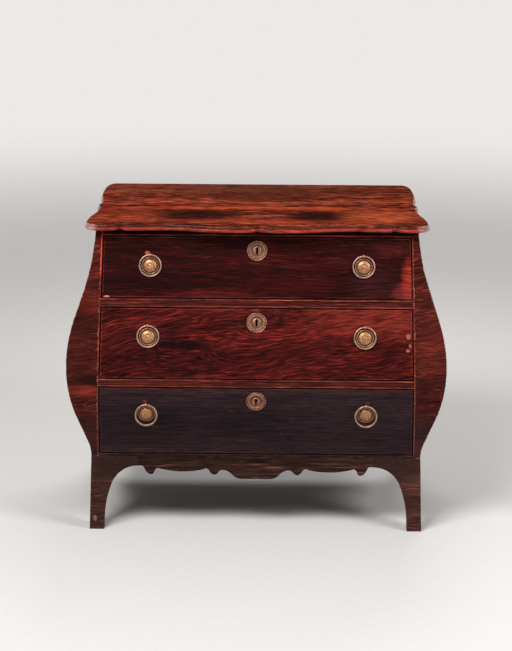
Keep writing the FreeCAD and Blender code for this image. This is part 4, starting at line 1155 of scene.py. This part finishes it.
@dataclass
class Lamp:
    """A soft, oblong studio lamp."""

    name: str
    place: Triple
    aim: Triple
    size: tuple[float, float]
    power: float

    def build(self) -> None:
        """Hang the lamp."""
        data = bpy.data.lights.new(self.name, "AREA")
        data.shape = "RECTANGLE"
        data.size, data.size_y = self.size
        data.energy = self.power
        lamp = bpy.data.objects.new(self.name, data)
        bpy.context.scene.collection.objects.link(lamp)
        lamp.location = self.place
        way = Vector(self.aim) - Vector(self.place)
        lamp.rotation_mode = "QUATERNION"
        lamp.rotation_quaternion = way.to_track_quat("-Z", "Y")


@dataclass
class Studio:
    """The floor, the lamps, the backdrop and the camera."""

    target: Triple = (-0.0016, -0.2393, 0.5373)
    distance: float = 5.5
    aside: float = 0.0316
    pitch: float = 14.04
    roll: float = 0.37
    lens: float = 121.85
    pale: Screen = (236, 233, 231)
    fill: float = 0.14
    floor_radius: float = 9.0
    floor_fade: tuple[float, float] = (1.6, 6.5)
    lamps: tuple[Lamp, ...] = (
        Lamp("key_lamp", (-1.3, -2.4, 3.1), (0, 0, 0.5), (1.8, 1.2), 124.0),
        Lamp("right_lamp", (2.6, -1.8, 2.2), (0, 0, 0.5), (1.2, 1.2), 56.0),
        Lamp("back_lamp", (0.4, 2.2, 2.6), (0, 0, 0.7), (1.8, 0.8), 36.0))

    def build(self) -> None:
        """Set up the whole studio."""
        self._floor()
        self._world()
        for lamp in self.lamps:
            lamp.build()
        self._camera()

    def _floor(self) -> None:
        """Lay a pale floor that fades into the backdrop far from the chest."""
        shape = bmesh.new()
        bmesh.ops.create_circle(shape, cap_ends=True, segments=96, radius=self.floor_radius)
        mesh = bpy.data.meshes.new("studio_floor")
        shape.to_mesh(mesh)
        shape.free()
        floor = bpy.data.objects.new("studio_floor", mesh)
        bpy.context.scene.collection.objects.link(floor)
        paint = bpy.data.materials.new("floor_paint")
        paint.use_nodes = True
        recipe = Recipe(paint.node_tree)
        x, y, _ = recipe.place()
        far = ((x ** 2.0 + y ** 2.0) ** 0.5).ease(*self.floor_fade)
        grain = recipe.noise(recipe.point(x, y, 0.0), 40.0, 3.0)
        matt = recipe.value("ShaderNodeBsdfPrincipled", None, {
            "Base Color": recipe.mix(grain, (228, 225, 222), (234, 231, 229)),
            "Roughness": 0.7, "Specular IOR Level": 0.15})
        clear = recipe.value("ShaderNodeBsdfTransparent")
        recipe.node("ShaderNodeOutputMaterial", None, {
            "Surface": recipe.value("ShaderNodeMixShader", None, {0: far, 1: matt, 2: clear})})
        mesh.materials.append(paint)

    def _world(self) -> None:
        """Make the backdrop pale to the camera and in reflections, and a soft fill elsewhere."""
        world = bpy.data.worlds.new("studio_world")
        world.use_nodes = True
        bpy.context.scene.world = world
        recipe = Recipe(world.node_tree)
        path = recipe.node("ShaderNodeLightPath")
        camera, glossy, through = (Signal(recipe, path.outputs["Is %s Ray" % kind])
                                   for kind in ("Camera", "Glossy", "Transmission"))
        fill, backdrop = (
            recipe.value("ShaderNodeBackground", None, {"Color": shade(colour), "Strength": strength})
            for colour, strength in (((255, 255, 255), self.fill), (self.pale, 1.0)))
        recipe.node("ShaderNodeOutputWorld", None, {
            "Surface": recipe.value("ShaderNodeMixShader", None, {
                0: camera.larger(glossy).larger(through), 1: fill, 2: backdrop})})

    def _camera(self) -> None:
        """Place the camera."""
        data = bpy.data.cameras.new("studio_camera")
        data.lens = self.lens
        data.sensor_width = 36.0
        data.clip_end = 60.0
        camera = bpy.data.objects.new("studio_camera", data)
        bpy.context.scene.collection.objects.link(camera)
        pitch = math.radians(self.pitch)
        back = Vector((0, -math.cos(pitch), math.sin(pitch))) * self.distance + Vector((self.aside, 0, 0))
        camera.location = Vector(self.target) + back
        camera.rotation_mode = "QUATERNION"
        level = (-back).to_track_quat("-Z", "Y")
        camera.rotation_quaternion = level @ Matrix.Rotation(math.radians(self.roll), 3, "Z").to_quaternion()
        bpy.context.scene.camera = camera


def chest_drawers() -> list[Drawer]:
    """Set out the three drawers.

    Returns:
        The drawers, from the top down.
    """
    rows = (
        ("upper", UPPER, (264.351, -247.063, 690.0, 12.312), (264.351, -241.871, 716.4, 9.94),
         (264.351, -246.993, 717.298), 9.298, (0.0, -239.946, 728.0, 8.904), Keyhole.SLOT),
        ("middle", MIDDLE, (269.174, -285.141, 518.0, 12.137), (269.174, -279.302, 544.4, 12.486),
         (269.174, -284.379, 545.524), 8.92, (0.0, -277.287, 553.5, 12.486), Keyhole.SLOT),
        ("lower", LOWER, (274.795, -275.42, 317.5, -17.689), (274.795, -282.828, 343.9, -13.66),
         (274.795, -287.881, 342.672), 0.0, (0.0, -285.033, 353.5, -12.213), Keyhole.ROUND_HEAD),
    )
    drawers = []
    for name, finish, plate, stem, eye, tilt, key, keyhole in rows:
        pulls = RingPulls(name, Seat(*plate), Seat(*stem), eye, tilt)
        escutcheon = Escutcheon(name + "_drawer", name + "_escutcheon", Seat(*key), keyhole)
        drawers.append(Drawer(name, finish, pulls, escutcheon))
    return drawers


def main() -> None:
    """Build the chest and its studio."""
    logging.basicConfig(level=logging.INFO, format="%(message)s")
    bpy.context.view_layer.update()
    scene = bpy.context.scene
    scene.view_settings.view_transform = "Standard"
    Studio().build()
    Case().build()
    for drawer in chest_drawers():
        drawer.build()


if __name__ == "__main__":
    main()
